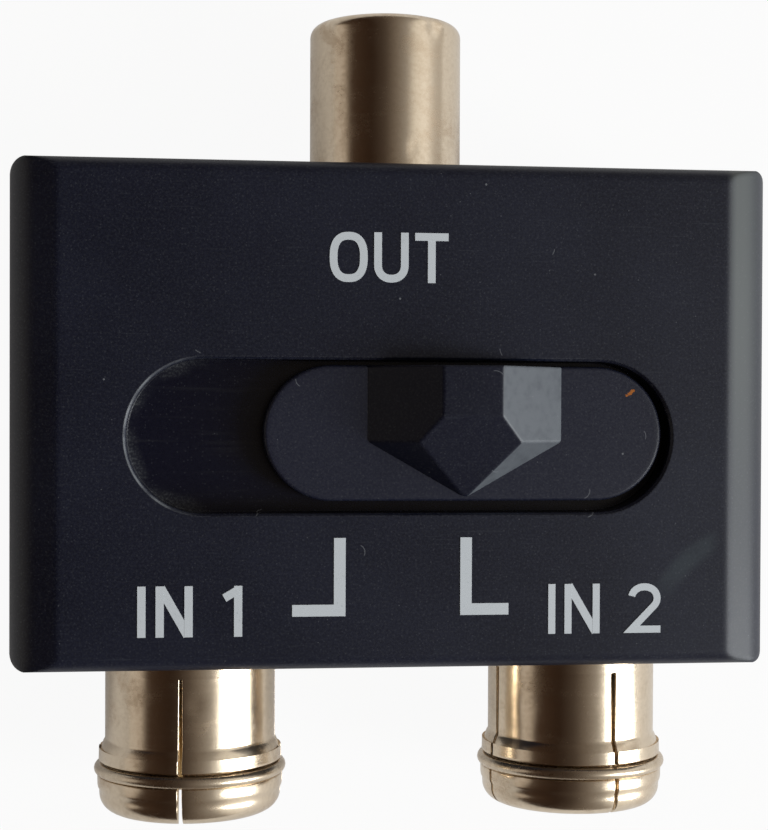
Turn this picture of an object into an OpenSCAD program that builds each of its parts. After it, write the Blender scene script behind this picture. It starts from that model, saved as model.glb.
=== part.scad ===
// Aerial switch box: a slide switch joins one coaxial plug to either of two coaxial sockets.
// Sizes are in millimetres. X runs along the two sockets, Y points towards the plug and
// Z points out of the front face. The origin is on the flat back, under the middle of the box.

/* [Case] */
// Width of the case, from side to side
case_w = 45.8; // [44:0.2:54]
// Height of the case, from the sockets' edge to the plug's edge
case_h = 30; // [29.6:0.2:36]
// Free depth between the chassis's floor and the circuit board, which sets the case's thickness
back_space = 2.2; // [1.8:0.1:3.8]
// Thickness of the four side walls
wall_t = 1.8; // [1.4:0.1:2]
// Thickness of the front face, beside the recess
face_t = 1.8; // [1.4:0.1:2]
// Rounding of the case's left and right edges
side_r = 2.4; // [1:0.1:3]
// Width of the strip beside each edge where the front face falls away
side_w = 2.9; // [2.6:0.1:4]
// Angle at which it falls away
side_deg = 20; // [5:1:35]
// Rounding of the front face's upper and lower edges
lip_r = 0.9; // [0.3:0.1:1.2]
// Rounding of the outline's four corners
corner_r = 1.1; // [0.8:0.05:2]
// Bevel of the edges round the back
back_bevel = 0.5; // [0.2:0.1:0.8]
// Thickness of the rear cover
cover_t = 2.2; // [2:0.1:2.5]
// Thickness of the rear cover's locating rims
rim_t = 1; // [0.8:0.1:1.4]
// Height of the rear cover's locating rims
rim_h = 1.2; // [0.6:0.1:2]

/* [Recess] */
// Space that is left between the slider and the recess's end when the slider has run its way
recess_end = 0.5; // [0.3:0.05:1.2]
// Space between the slider and the recess's long sides, on average
recess_side = 0.5; // [0.35:0.05:0.8]
// Depth of the recess
recess_deep = 2; // [1.8:0.1:2.4]
// Thickness of the recess's floor and of its inner walls
floor_t = 1.2; // [1:0.1:1.5]
// How far the recess lies right of the case's middle
recess_x = 0.2; // [-1:0.1:1]
// How far the recess lies below the case's middle
recess_drop = 1.23; // [0.8:0.01:1.8]
// Bevel round the recess's edge
recess_bevel = 0.15; // [0.05:0.05:0.3]

/* [Slider] */
// How far the slider travels between its two places
travel = 7.5; // [6.5:0.1:8]
// Length of the slider
knob_l = 24; // [20:0.1:26]
// Width of the slider
knob_w = 8.05; // [7.6:0.05:8.6]
// How far the slider's flat lies below the front face
knob_sink = 0.4; // [0.2:0.05:0.6]
// How far the slider sits above the recess's middle line
knob_rise = 0.2; // [0:0.05:0.25]
// Bevel round the slider's edge
knob_bevel = 0.15; // [0.05:0.05:0.3]
// Height of the pointer over the slider's flat
pointer_h = 3; // [2:0.1:4]
// Width of the pointer at its foot
pointer_w = 11.75; // [9:0.05:13]
// Width of the pointer's flat top
pointer_top_w = 3.5; // [2:0.1:5]
// How far the pointer's tip lies inside the slider's lower edge
pointer_inset = 0.15; // [0:0.05:1]
// Length of the pointer's foot that has straight sides
pointer_side_l = 4.53; // [3:0.05:5.5]
// Length of the pointer's flat top
pointer_top_l = 3; // [2:0.1:4]
// Length of the stem under the slider
stem_l = 6; // [4:0.1:7]
// Width of the stem
stem_w = 3; // [2:0.1:3.4]

/* [Plug] */
// Radius of the plug's shell
plug_r = 4.7625; // [4.7:0.0125:4.8]
// How far the plug's shell stands out of the case
plug_l = 9.6; // [8:0.1:11]
// Thickness of the plug shell's wall
plug_wall = 0.5125; // [0.4625:0.025:0.6]
// Rounding of the shell's tip
plug_tip_r = 0.75; // [0.4:0.05:0.8]
// Radius of the centre pin, which the sockets' centre contacts are bored for too
pin_r = 1.2; // [1.15:0.01:1.25]
// How far the pin's tip lies behind the shell's tip
pin_sink = 0.6; // [0.2:0.1:2]

/* [Sockets] */
// Distance from each side of the case to the axis of its socket
socket_inset = 10.7; // [9.4:0.1:11.6]
// Bore radius of the sleeve
socket_bore_r = 4.8; // [4.78:0.01:4.9]
// Thickness of the sleeve's wall at its neck
sleeve_wall = 0.5; // [0.45:0.05:0.6]
// How far the sleeve stands out of the case
socket_l = 9.6; // [9:0.1:11]
// Length of the sleeve's raised end, from the neck to the tip
bead_l = 4.4; // [4.2:0.1:5]
// Height of the raised land behind the spring ring, over the neck
land_h = 0.38; // [0.2:0.02:0.5]
// Height of the belly in front of the spring ring, over the neck
belly_h = 0.48; // [0.3:0.02:0.55]
// Width of the four slits in the sleeve
slit_w = 0.3; // [0.2:0.05:0.6]
// Distance from the case to the slits' ends
slit_start = 0.85; // [0.5:0.05:2]
// Height of the spring ring over the neck
ring_h = 0.7; // [0.64:0.01:0.8]
// Radius of the spring ring's wire
ring_wire_r = 0.39; // [0.33:0.01:0.4]
// Running clearance round the pin in the centre contact's bore
pin_fit = 0.02; // [0.01:0.01:0.06]
// Thickness of the centre contact's wall
contact_wall = 0.43; // [0.33:0.05:0.68]
// How far the centre contact's mouth lies behind the sleeve's tip
contact_sink = 1.6; // [1:0.1:3]

/* [Switch] */
// Length of the moving carriage
carriage_l = 15.5; // [14.5:0.1:16]
// Width of the moving carriage
carriage_w = 7; // [6.6:0.1:7.2]
// Height of the moving carriage
carriage_h = 2.6; // [2.4:0.1:2.8]
// Height of the switch's base
base_h = 2.2; // [1.8:0.1:2.4]
// Thickness of the circuit board
board_t = 1.2; // [0.8:0.1:1.6]
// Thickness of the chassis's sheet
chassis_t = 0.6; // [0.4:0.05:0.7]
// Thickness of the switch frame's sheet
frame_t = 0.4; // [0.3:0.05:0.5]

/* [Screws] */
// Radius of the screws' shanks
screw_r = 1.1; // [0.9:0.05:1.2]
// Thickness of the bosses' walls round the screws
boss_wall = 1.1; // [0.8:0.05:1.15]
// How far the screws' heads reach out over their shanks
head_over = 0.8; // [0.6:0.05:0.9]
// Length of the shank under the head
screw_l = 7.6; // [6:0.2:9]

/* [Hidden] */
$fn = 64;

// Clearances
overrun = 1;
slide_gap = 0.1;
seat_gap = 0.1;
part_gap = 0.3;
round_gap = 0.03;
neck_gap = 0.08;

// Depths, from the back to the front face
leaf_drop = 0.7;
strip_t = 0.4;
chassis_z = cover_t + chassis_t;
board_z = chassis_z + back_space;
board_top_z = board_z + board_t;
strip_z = board_top_z + base_h;
carriage_z = strip_z + strip_t + slide_gap + leaf_drop;
carriage_top_z = carriage_z + carriage_h;
frame_top_z = carriage_top_z + slide_gap + frame_t;
tub_z = frame_top_z + seat_gap;
floor_z = tub_z + floor_t;
case_t = floor_z + recess_deep;

// Case
inside_x = case_w / 2 - wall_t;
inside_y = case_h / 2 - wall_t;
inside_z = case_t - face_t;
axis_z = case_t / 2;
recess_l = knob_l + travel + 2 * recess_end;
recess_w = knob_w + 2 * recess_side;
recess_y = -recess_drop;
stem_slot_l = travel + stem_l + 2 * part_gap;
stem_slot_w = stem_w + 2 * part_gap;

// Slider
knob_x = recess_x + travel / 2;
knob_y = recess_y + knob_rise;
knob_z = floor_z + slide_gap;
knob_face_z = case_t - knob_sink;
pointer_mid_share = 0.69;
pointer_l = knob_w - pointer_inset;

// Switch
solder_l = 0.8;
frame_in_w = carriage_w + 2 * slide_gap;
frame_w = frame_in_w + 2 * frame_t;
frame_in_l = carriage_l + travel + 2 * slide_gap;
frame_l = frame_in_l + 2 * frame_t;
stem_seat_share = 0.7;
stem_end_z = carriage_top_z - carriage_h * stem_seat_share;
strip_gap = 2.5;
strip_l = travel - strip_gap;
strip_w = 2;
pole_y = 1.9;
tag_l = 0.9;
leaf_t = 0.25;
leaf_w = 1.6;
leaf_l = 9.6;
leaf_seat_l = 3;
tab_l = 1.6;
tab_x = frame_l / 3;

// Chassis and board
rim_x = inside_x - seat_gap - rim_t;
chassis_l = 2 * (rim_x - part_gap);
chassis_y = inside_y - seat_gap;
chassis_in_y = chassis_y - chassis_t;
chassis_bend_r = 0.4;
boss_web = 0.6;
boss_gap = 0.2;
boss_r = screw_r + boss_wall;
boss_x = chassis_l / 2 - boss_web - boss_gap - boss_r;
boss_y = chassis_in_y - boss_web - boss_gap - boss_r;
BOSSES = [[-boss_x, boss_y], [boss_x, boss_y], [0, -boss_y]];
board_margin = 1.9;
board_w = frame_w + 2 * board_margin;
board_l = chassis_l - 2 * part_gap;
lug_margin = 1.5;
lug_x = board_l / 2 - lug_margin;
lug_w = 6;
lug_tongue_w = 2.4;
post_r = 0.9;
post_x = lug_x - lug_tongue_w;
post_y = board_w / 2 - post_r;

// Screws
screw_head_r = screw_r + head_over;
screw_head_h = 1.2;
screw_sink = 0.2;
screw_bevel = 0.25;
screw_point_share = 0.25;
counter_deep = screw_head_h + screw_sink;
cross_l = 2.4;
cross_w = 0.5;
cross_deep = 0.6;

// Connectors, each along its own axis from the case's edge outwards
shoulder_z = -wall_t - seat_gap;
staked_z = shoulder_z - chassis_t;
roll_t = 0.6;
roll_w = 0.65;
roll_z = staked_z - roll_t;
spigot_wall = 0.5;
plug_spigot_share = 0.75;
neck_spigot_share = 0.6;
shelf_t = 0.7;
shelf_z = shoulder_z + shelf_t;
insulator_z = 0.4;
tail_r = 0.5;
link_reach = 1.2;
plug_bore_r = plug_r - plug_wall;
plug_spigot_r = plug_r - plug_spigot_share * spigot_wall;
foot_step = 0.2;
foot_h = 0.25;
foot_r = plug_r + foot_step;
plug_lip_t = 0.5;
plug_lip_w = 0.35;
plug_mouth_r = plug_bore_r - plug_lip_w;
pin_tip_r = 0.9;
pin_l = plug_l - pin_sink;
plug_tail_z = link_reach - case_h / 2 + knob_y + frame_w / 2 + board_margin;
socket_x = case_w / 2 - socket_inset;
neck_r = socket_bore_r + sleeve_wall;
neck_l = socket_l - bead_l;
land_r = neck_r + land_h;
belly_r = neck_r + belly_h;
neck_spigot_r = neck_r - neck_spigot_share * spigot_wall;
horn_w = 1.1;
ring_out_r = neck_r + ring_h;
ring_r = ring_out_r - ring_wire_r;
groove_r = ring_r - ring_wire_r - round_gap;
groove_half = ring_wire_r + round_gap;
land_rise = 0.58;
land_l = 0.75;
groove_z = neck_l + land_rise + land_l + groove_half;
socket_tip_r = 1.1;
belly_fall = 0.13;
belly_end_r = belly_r - belly_fall;
mouth_bevel = 0.1;
contact_bore_r = pin_r + pin_fit;
contact_r = contact_bore_r + contact_wall;
contact_floor = 0.8;
contact_mouth_z = socket_l - contact_sink;
contact_bevel = 0.15;
contact_slit_w = 0.35;
contact_slit_l = 5;
socket_tail_z = link_reach - case_h / 2 - knob_y + frame_w / 2 + board_margin;
left_slit_deg = -7;
right_slit_deg = 17;
left_ring_deg = 150;
right_ring_deg = 205;
ring_gap_w = 0.6;

// Wires
link_r = 0.3;
link_inset = 0.9;
resistor_r = 0.9;
resistor_l = 3.4;
resistor_lead = 0.9;
resistor_off = 2;
resistor_x = -resistor_l / 2 - resistor_lead - resistor_off;
wire_gap = 0.1;
resistor_y = knob_y + frame_w / 2 + resistor_r + 2 * wire_gap;
// Where the three links go through the board
LINK_HOLES = [
    [0, knob_y + board_w / 2 - link_inset],
    [-socket_x, knob_y - board_w / 2 + link_inset],
    [socket_x, knob_y - board_w / 2 + link_inset]
];
// The six terminals, and the frame's four tabs, from the switch's own middle
TERMINALS = [for (column = [-1:1], row = [-1, 1]) [column * travel, row * pole_y]];
TABS = [for (column = [-1, 1], row = [-1, 1]) [column * tab_x, row * (frame_w - frame_t) / 2]];

// Rectangle that stands on the X axis, with its own rounding at its foot and at its top
module soft_rect(w, h, foot, top) {
    translate([-w / 2, foot]) square([w, h - foot - top]);
    translate([-w / 2 + foot, 0]) square([w - 2 * foot, foot]);
    if (top > 0) translate([-w / 2 + top, h - top]) square([w - 2 * top, top]);
    for (side = [-1, 1]) {
        translate([side * (w / 2 - foot), foot]) circle(foot);
        if (top > 0) translate([side * (w / 2 - top), h - top]) circle(top);
    }
}

// Rectangle that stands on the X axis, with bevels at its foot and rounding at its top
module bevelled_rect(w, h, bevel, top) {
    polygon([
        [bevel - w / 2, 0], [w / 2 - bevel, 0], [w / 2, bevel], [w / 2, h - top],
        [w / 2 - top, h], [top - w / 2, h], [-w / 2, h - top], [-w / 2, bevel]
    ]);
    for (side = [-1, 1]) translate([side * (w / 2 - top), h - top]) circle(top);
}

// The case seen from the sockets: the front falls away to both sides and runs into their rounding
module case_profile() {
    flat_x = case_w / 2 - side_w;
    round_x = case_w / 2 - side_r;
    round_z = case_t - (side_r + (side_w - side_r) * sin(side_deg)) / cos(side_deg);
    meet_x = round_x + side_r * sin(side_deg);
    meet_z = round_z + side_r * cos(side_deg);
    bevelled_rect(case_w, round_z + side_r, back_bevel, side_r);
    polygon([[-flat_x, case_t], [flat_x, case_t], [meet_x, meet_z], [-meet_x, meet_z]]);
}

// The whole outside of the case: three outlines, each run along its own axis
module case_block() {
    intersection() {
        linear_extrude(case_t) translate([0, -case_h / 2]) soft_rect(case_w, case_h, corner_r, corner_r);
        rotate([90, 0, 0]) linear_extrude(case_h, center = true) case_profile();
        rotate([90, 0, 90]) linear_extrude(case_w, center = true)
            bevelled_rect(case_h, case_t, back_bevel, lip_r);
    }
}

// Bar along X with round ends; grow widens it evenly towards its top
module obround(l, w, h, grow = 0) {
    for (side = [-1, 1])
        translate([side * (l - w) / 2, 0, 0]) cylinder(h = h, r1 = w / 2, r2 = w / 2 + grow);
    rotate([90, 0, 90])
        linear_extrude(l - w, center = true)
            polygon([[-w / 2, 0], [w / 2, 0], [w / 2 + grow, h], [-w / 2 - grow, h]]);
}

// Box centred on X and Y, from one height to another
module slab(l, w, low, high) {
    translate([-l / 2, -w / 2, low]) cube([l, w, high - low]);
}

// Puts a connector, drawn along Z from the case's edge, on the plug's edge or the sockets' edge
module on_plug_edge() {
    translate([0, case_h / 2, axis_z]) rotate([-90, 0, 0]) children();
}

module on_socket_edge(side) {
    translate([side * socket_x, -case_h / 2, axis_z]) rotate([90, 0, 0]) children();
}

// The three places where a wall is cut for a connector: a square notch with a round head
module notches(r, gap) {
    on_plug_edge() notch(foot_r + r, gap, -1);
    for (side = [-1, 1]) on_socket_edge(side) notch(neck_r + r, gap, 1);
}

// One notch; flip is 1 where the case's back lies towards the notch's minus Y, otherwise -1
module notch(r, gap, flip) {
    half_w = r + horn_w - gap;
    depth = axis_z + overrun;
    translate([-half_w, flip > 0 ? -depth : gap, -wall_t - overrun])
        cube([2 * half_w, depth - gap, wall_t + 2 * overrun]);
}

// The round holes through the walls for the three necks
module neck_holes() {
    on_plug_edge()
        translate([0, 0, -wall_t - overrun])
            cylinder(h = wall_t + 2 * overrun, r = foot_r + neck_gap);
    for (side = [-1, 1])
        on_socket_edge(side)
            translate([0, 0, -wall_t - overrun]) cylinder(h = wall_t + 2 * overrun, r = neck_r + neck_gap);
}

module front_case() {
    color([0.08, 0.085, 0.12]) difference() {
        union() {
            difference() {
                case_block();
                slab(case_w + overrun, case_h + overrun, -overrun, cover_t);
                slab(2 * inside_x, 2 * inside_y, -overrun, inside_z);
            }
            translate([recess_x, recess_y, tub_z])
                obround(recess_l + 2 * floor_t, recess_w + 2 * floor_t, inside_z + face_t / 2 - tub_z);
            for (place = BOSSES)
                translate([place.x, place.y, cover_t])
                    cylinder(h = inside_z + face_t / 2 - cover_t, r = boss_r);
            for (side = [-1, 1], row = [-1, 1])
                translate([side * post_x, knob_y + row * post_y, board_top_z + seat_gap])
                    cylinder(h = inside_z + face_t / 2 - board_top_z - seat_gap, r = post_r);
        }
        translate([recess_x, recess_y, floor_z]) obround(recess_l, recess_w, recess_deep + overrun);
        translate([recess_x, recess_y, case_t - recess_bevel])
            obround(recess_l, recess_w, recess_bevel, recess_bevel);
        translate([recess_x, knob_y, 0]) slab(stem_slot_l, stem_slot_w, tub_z - overrun, floor_z + overrun);
        for (place = BOSSES)
            translate([place.x, place.y, cover_t - overrun])
                cylinder(h = screw_l - cover_t + counter_deep + 2 * overrun, r = screw_r + round_gap);
        notches(neck_gap, 0);
        neck_holes();
    }
}

module rear_cover() {
    color([0.07, 0.075, 0.1]) difference() {
        union() {
            intersection() {
                case_block();
                slab(case_w, case_h, 0, cover_t);
            }
            for (side = [-1, 1])
                translate([side * (rim_x + rim_t / 2), 0, 0])
                    slab(rim_t, 2 * (inside_y - part_gap), cover_t / 2, cover_t + rim_h);
            intersection() {
                notches(neck_gap, seat_gap);
                union() {
                    for (side = [-1, 1])
                        translate([0, side * (case_h - wall_t) / 2, 0])
                            slab(case_w, wall_t, cover_t / 2, axis_z);
                }
            }
        }
        neck_holes();
        for (place = BOSSES) {
            translate([place.x, place.y, -overrun])
                cylinder(h = cover_t + 2 * overrun, r = screw_r + seat_gap);
            translate([place.x, place.y, -overrun])
                cylinder(h = counter_deep + overrun, r = screw_head_r + 2 * seat_gap);
        }
    }
}

module cover_screws() {
    color([0.62, 0.62, 0.64]) for (place = BOSSES)
        translate([place.x, place.y, screw_sink]) difference() {
            union() {
                cylinder(h = screw_bevel, r1 = screw_head_r - screw_bevel, r2 = screw_head_r);
                translate([0, 0, screw_bevel]) cylinder(h = screw_head_h - screw_bevel, r = screw_head_r);
                cylinder(h = screw_head_h + screw_l - screw_r, r = screw_r);
                translate([0, 0, screw_head_h + screw_l - screw_r])
                    cylinder(h = screw_r, r1 = screw_r, r2 = screw_r * screw_point_share);
            }
            for (turn = [0, 90])
                rotate([0, 0, turn]) slab(cross_l, cross_w, -overrun, cross_deep);
        }
}

// The pointer's faceted boss, from the slider's upper edge to its tip
module pointer() {
    up = knob_w / 2;
    side_y = up - pointer_side_l;
    top_y = up - pointer_top_l;
    tip_y = up - pointer_l;
    half_w = pointer_w / 2;
    half_top = pointer_top_w / 2;
    mid_x = half_w + (half_top - half_w) * pointer_mid_share;
    mid_y = tip_y + (top_y - tip_y) * pointer_mid_share;
    mid_z = pointer_h * pointer_mid_share;
    outline = [[-half_w, up], [half_w, up], [half_w, side_y], [0, tip_y], [-half_w, side_y]];
    points = concat(
        [for (p = outline) [p.x, p.y, -knob_bevel]],
        [for (p = outline) [p.x, p.y, 0]],
        [[-half_top, up, pointer_h], [half_top, up, pointer_h],
         [half_top, top_y, pointer_h], [-half_top, top_y, pointer_h],
         [mid_x, mid_y, mid_z], [-mid_x, mid_y, mid_z]]
    );
    polyhedron(points, [
        [4, 3, 2, 1, 0],
        [0, 1, 6, 5], [1, 2, 7, 6], [2, 3, 8, 7], [3, 4, 9, 8], [4, 0, 5, 9],
        [5, 6, 11, 10], [10, 11, 12, 13],
        [6, 7, 14, 12, 11], [7, 8, 14], [8, 15, 13, 12, 14], [8, 9, 15], [9, 5, 10, 13, 15]
    ]);
}

module slider_knob() {
    color([0.12, 0.12, 0.15]) translate([knob_x, knob_y, 0]) {
        translate([0, 0, knob_z]) obround(knob_l, knob_w, knob_face_z - knob_bevel - knob_z);
        translate([0, 0, knob_face_z - knob_bevel]) obround(knob_l, knob_w, knob_bevel, -knob_bevel);
        translate([0, 0, knob_face_z]) pointer();
        slab(stem_l, stem_w, stem_end_z, knob_z + knob_bevel);
    }
}

// Sleeve and mouth are cut out of a solid of revolution, and the spigot behind the shelf is bored
module plug_shell() {
    color([0.72, 0.64, 0.52]) on_plug_edge() rotate_extrude() difference() {
        union() {
            polygon([
                [0, roll_z], [plug_spigot_r + roll_w, roll_z], [plug_spigot_r + roll_w, staked_z],
                [plug_spigot_r, staked_z], [plug_spigot_r, shoulder_z], [foot_r, shoulder_z],
                [foot_r, foot_h], [plug_r, foot_h], [plug_r, plug_l - plug_tip_r],
                [plug_r - plug_tip_r, plug_l - plug_tip_r], [plug_r - plug_tip_r, plug_l], [0, plug_l]
            ]);
            translate([plug_r - plug_tip_r, plug_l - plug_tip_r]) circle(plug_tip_r);
        }
        polygon([
            [0, roll_z - overrun], [plug_spigot_r - spigot_wall, roll_z - overrun],
            [plug_spigot_r - spigot_wall, shelf_z], [plug_bore_r, shelf_z],
            [plug_bore_r, plug_l - plug_lip_t], [plug_mouth_r, plug_l - plug_lip_t],
            [plug_mouth_r, plug_l + overrun], [0, plug_l + overrun]
        ]);
    }
}

// Insulating bush: a disc in the sleeve and a spigot through the staked end, bored for the tail
module insulator(disc_r, spigot_r) {
    rotate_extrude() polygon([
        [tail_r + round_gap, roll_z], [spigot_r - round_gap, roll_z],
        [spigot_r - round_gap, shelf_z], [disc_r - round_gap, shelf_z],
        [disc_r - round_gap, insulator_z], [tail_r + round_gap, insulator_z]
    ]);
}

module plug_insulator() {
    color([0.88, 0.86, 0.78]) on_plug_edge() insulator(plug_bore_r, plug_spigot_r - spigot_wall);
}

module plug_pin() {
    color([0.74, 0.66, 0.5]) on_plug_edge() rotate_extrude() {
        polygon([
            [0, plug_tail_z], [tail_r, plug_tail_z], [tail_r, insulator_z], [pin_r, insulator_z],
            [pin_r, pin_l - pin_tip_r], [0, pin_l - pin_tip_r]
        ]);
        translate([0, pin_l - pin_tip_r]) square([pin_r - pin_tip_r, pin_tip_r]);
        intersection() {
            translate([pin_r - pin_tip_r, pin_l - pin_tip_r]) circle(pin_tip_r);
            translate([0, insulator_z]) square([pin_r, pin_l]);
        }
    }
}

// Slotted sleeve of a socket, with a land, a groove for the spring ring and a belly that rounds
// off to its highest point at the mouth's bevel
module socket_shell(side, slit_deg) {
    belly_z = groove_z + groove_half;
    tip_x = belly_end_r - socket_tip_r;
    tip_z = socket_l - sqrt(pow(socket_tip_r, 2) - pow(socket_bore_r + mouth_bevel - tip_x, 2));
    color([0.72, 0.64, 0.52]) on_socket_edge(side) difference() {
        rotate_extrude() difference() {
            union() {
                polygon([
                    [0, roll_z], [neck_spigot_r + roll_w, roll_z], [neck_spigot_r + roll_w, staked_z],
                    [neck_spigot_r, staked_z], [neck_spigot_r, shoulder_z], [neck_r, shoulder_z],
                    [neck_r, neck_l], [land_r, neck_l + land_rise],
                    [land_r, groove_z - groove_half], [groove_r, groove_z - groove_half],
                    [groove_r, belly_z], [belly_r, belly_z], [belly_end_r, tip_z], [0, tip_z]
                ]);
                translate([tip_x, tip_z]) circle(socket_tip_r);
            }
            polygon([
                [0, roll_z - overrun], [neck_spigot_r - spigot_wall, roll_z - overrun],
                [neck_spigot_r - spigot_wall, shelf_z], [socket_bore_r, shelf_z],
                [socket_bore_r, socket_l - mouth_bevel],
                [socket_bore_r + mouth_bevel + overrun, socket_l + overrun], [0, socket_l + overrun]
            ]);
        }
        for (turn = [0, 90])
            rotate([0, 0, turn - slit_deg])
                slab(slit_w, 2 * (ring_out_r + overrun), slit_start, socket_l + overrun);
    }
}

// Split wire ring that draws the sleeve's four fingers together
module spring_ring(side, gap_deg) {
    color([0.72, 0.66, 0.56]) on_socket_edge(side) difference() {
        translate([0, 0, groove_z]) rotate_extrude() translate([ring_r, 0]) circle(ring_wire_r);
        rotate([0, 0, -gap_deg])
            translate([-ring_gap_w / 2, 0, 0]) cube([ring_gap_w, ring_out_r + overrun, socket_l]);
    }
}

// Centre contact of a socket: a split tube on a tail
module socket_contact(side) {
    color([0.78, 0.68, 0.45]) on_socket_edge(side) difference() {
        rotate_extrude() polygon([
            [0, socket_tail_z], [tail_r, socket_tail_z], [tail_r, insulator_z],
            [contact_r, insulator_z], [contact_r, contact_mouth_z],
            [contact_bore_r + contact_bevel, contact_mouth_z],
            [contact_bore_r, contact_mouth_z - contact_bevel],
            [contact_bore_r, insulator_z + contact_floor], [0, insulator_z + contact_floor]
        ]);
        slab(contact_slit_w, 2 * (contact_r + overrun), contact_mouth_z - contact_slit_l,
             contact_mouth_z + overrun);
    }
}

module socket_insulator(side) {
    color([0.88, 0.86, 0.78]) on_socket_edge(side) insulator(socket_bore_r, neck_spigot_r - spigot_wall);
}

module left_socket_shell() { socket_shell(-1, left_slit_deg); }
module left_spring_ring() { spring_ring(-1, left_ring_deg); }
module left_socket_insulator() { socket_insulator(-1); }
module left_socket_contact() { socket_contact(-1); }
module right_socket_shell() { socket_shell(1, right_slit_deg); }
module right_spring_ring() { spring_ring(1, right_ring_deg); }
module right_socket_insulator() { socket_insulator(1); }
module right_socket_contact() { socket_contact(1); }

// Window in the chassis's floor, under a staked rim of radius r
module rim_window(x, r, side) {
    half_w = r + part_gap;
    translate([x - half_w, side > 0 ? chassis_in_y - roll_t - part_gap : -chassis_in_y, cover_t - overrun])
        cube([2 * half_w, roll_t + part_gap, chassis_t + chassis_bend_r + overrun]);
}

module chassis() {
    wall_h = inside_z - part_gap - cover_t;
    lug_h = board_z - chassis_z;
    color([0.7, 0.7, 0.7]) difference() {
        union() {
            translate([0, 0, cover_t]) rotate([90, 0, 90])
                linear_extrude(chassis_l, center = true) difference() {
                    soft_rect(2 * chassis_y, wall_h, chassis_bend_r + chassis_t, 0);
                    translate([0, chassis_t]) soft_rect(2 * chassis_in_y, wall_h, chassis_bend_r, 0);
                }
            for (side = [-1, 1]) translate([side * lug_x, knob_y, 0]) {
                slab(chassis_t, lug_w, chassis_z - chassis_t / 2, board_z);
                slab(chassis_t, lug_tongue_w, board_z - chassis_t / 2, board_top_z + solder_l);
            }
        }
        for (side = [-1, 1])
            translate([side * (lug_x - chassis_t / 2 - (lug_h + board_t) / 2), knob_y, 0])
                slab(lug_h + board_t, lug_w, cover_t - overrun, chassis_z + overrun);
        for (place = BOSSES)
            translate([place.x, place.y, cover_t - overrun])
                cylinder(h = chassis_t + 2 * overrun, r = boss_r + boss_gap);
        on_plug_edge() translate([0, 0, staked_z - overrun])
            cylinder(h = chassis_t + 2 * overrun, r = plug_spigot_r + round_gap);
        rim_window(0, plug_spigot_r + roll_w, 1);
        for (side = [-1, 1]) {
            on_socket_edge(side) translate([0, 0, staked_z - overrun])
                cylinder(h = chassis_t + 2 * overrun, r = neck_spigot_r + round_gap);
            rim_window(side * socket_x, neck_spigot_r + roll_w, -1);
        }
    }
}

module circuit_board() {
    color([0.55, 0.4, 0.2]) difference() {
        translate([0, knob_y, 0]) slab(board_l, board_w, board_z, board_top_z);
        for (hole = LINK_HOLES)
            translate([hole.x, hole.y, board_z - overrun])
                cylinder(h = board_t + 2 * overrun, r = link_r + wire_gap);
        for (end = [-1, 1])
            translate([resistor_x + end * (resistor_l / 2 + resistor_lead), resistor_y, board_z - overrun])
                cylinder(h = board_t + 2 * overrun, r = link_r + wire_gap);
        for (side = [-1, 1])
            translate([side * lug_x, knob_y, 0])
                slab(chassis_t + 2 * wire_gap, lug_tongue_w + 2 * wire_gap,
                     board_z - overrun, board_top_z + overrun);
        for (place = TERMINALS)
            translate([recess_x + place.x, knob_y + place.y, 0])
                slab(tag_l + 2 * wire_gap, strip_t + 2 * wire_gap, board_z - overrun, board_top_z + overrun);
        for (place = TABS)
            translate([recess_x + place.x, knob_y + place.y, 0])
                slab(tab_l + 2 * wire_gap, frame_t + 2 * wire_gap, board_z - overrun, board_top_z + overrun);
    }
}

module switch_frame() {
    color([0.66, 0.66, 0.68]) translate([recess_x, knob_y, 0]) {
        difference() {
            slab(frame_l, frame_w, board_top_z, frame_top_z);
            slab(frame_in_l, frame_in_w, board_top_z - overrun, frame_top_z - frame_t);
            slab(frame_l + overrun, frame_in_w, board_top_z - overrun, strip_z + seat_gap);
            slab(stem_slot_l, stem_slot_w, frame_top_z - frame_t - overrun, frame_top_z + overrun);
        }
        for (place = TABS)
            translate([place.x, place.y, 0])
                slab(tab_l, frame_t, board_z - solder_l, board_top_z + frame_t);
    }
}

module switch_base() {
    color([0.3, 0.2, 0.12]) translate([recess_x, knob_y, 0]) difference() {
        slab(frame_l - seat_gap, frame_in_w - seat_gap, board_top_z, strip_z);
        for (place = TERMINALS)
            translate([place.x, place.y, 0])
                slab(tag_l + wire_gap, strip_t + wire_gap, board_top_z - overrun, strip_z + overrun);
    }
}

module fixed_contacts() {
    color([0.8, 0.78, 0.72]) translate([recess_x, knob_y, 0]) for (place = TERMINALS)
        translate([place.x, place.y, 0]) {
            slab(strip_l, strip_w, strip_z, strip_z + strip_t);
            slab(tag_l, strip_t, board_z - solder_l, strip_z + strip_t / 2);
        }
}

module slide_carriage() {
    color([0.85, 0.82, 0.72]) translate([knob_x, knob_y, 0]) difference() {
        slab(carriage_l, carriage_w, carriage_z, carriage_top_z);
        slab(stem_l + round_gap, stem_w + round_gap, stem_end_z, carriage_top_z + overrun);
    }
}

// Two leaf springs under the carriage, each with a bent foot over two neighbouring contacts
module bridge_contacts() {
    foot_x = travel / 2;
    line = [
        [-leaf_l / 2, -leaf_drop / 2], [-foot_x, leaf_t - leaf_drop],
        [-leaf_seat_l / 2, 0], [leaf_seat_l / 2, 0],
        [foot_x, leaf_t - leaf_drop], [leaf_l / 2, -leaf_drop / 2]
    ];
    last = len(line) - 1;
    color([0.8, 0.55, 0.3]) for (row = [-1, 1])
        translate([knob_x, knob_y + row * pole_y + leaf_w / 2, carriage_z])
            rotate([90, 0, 0]) linear_extrude(leaf_w) polygon(concat(
                line, [for (i = [last:-1:0]) [line[i].x, line[i].y - leaf_t]]
            ));
}

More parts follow.
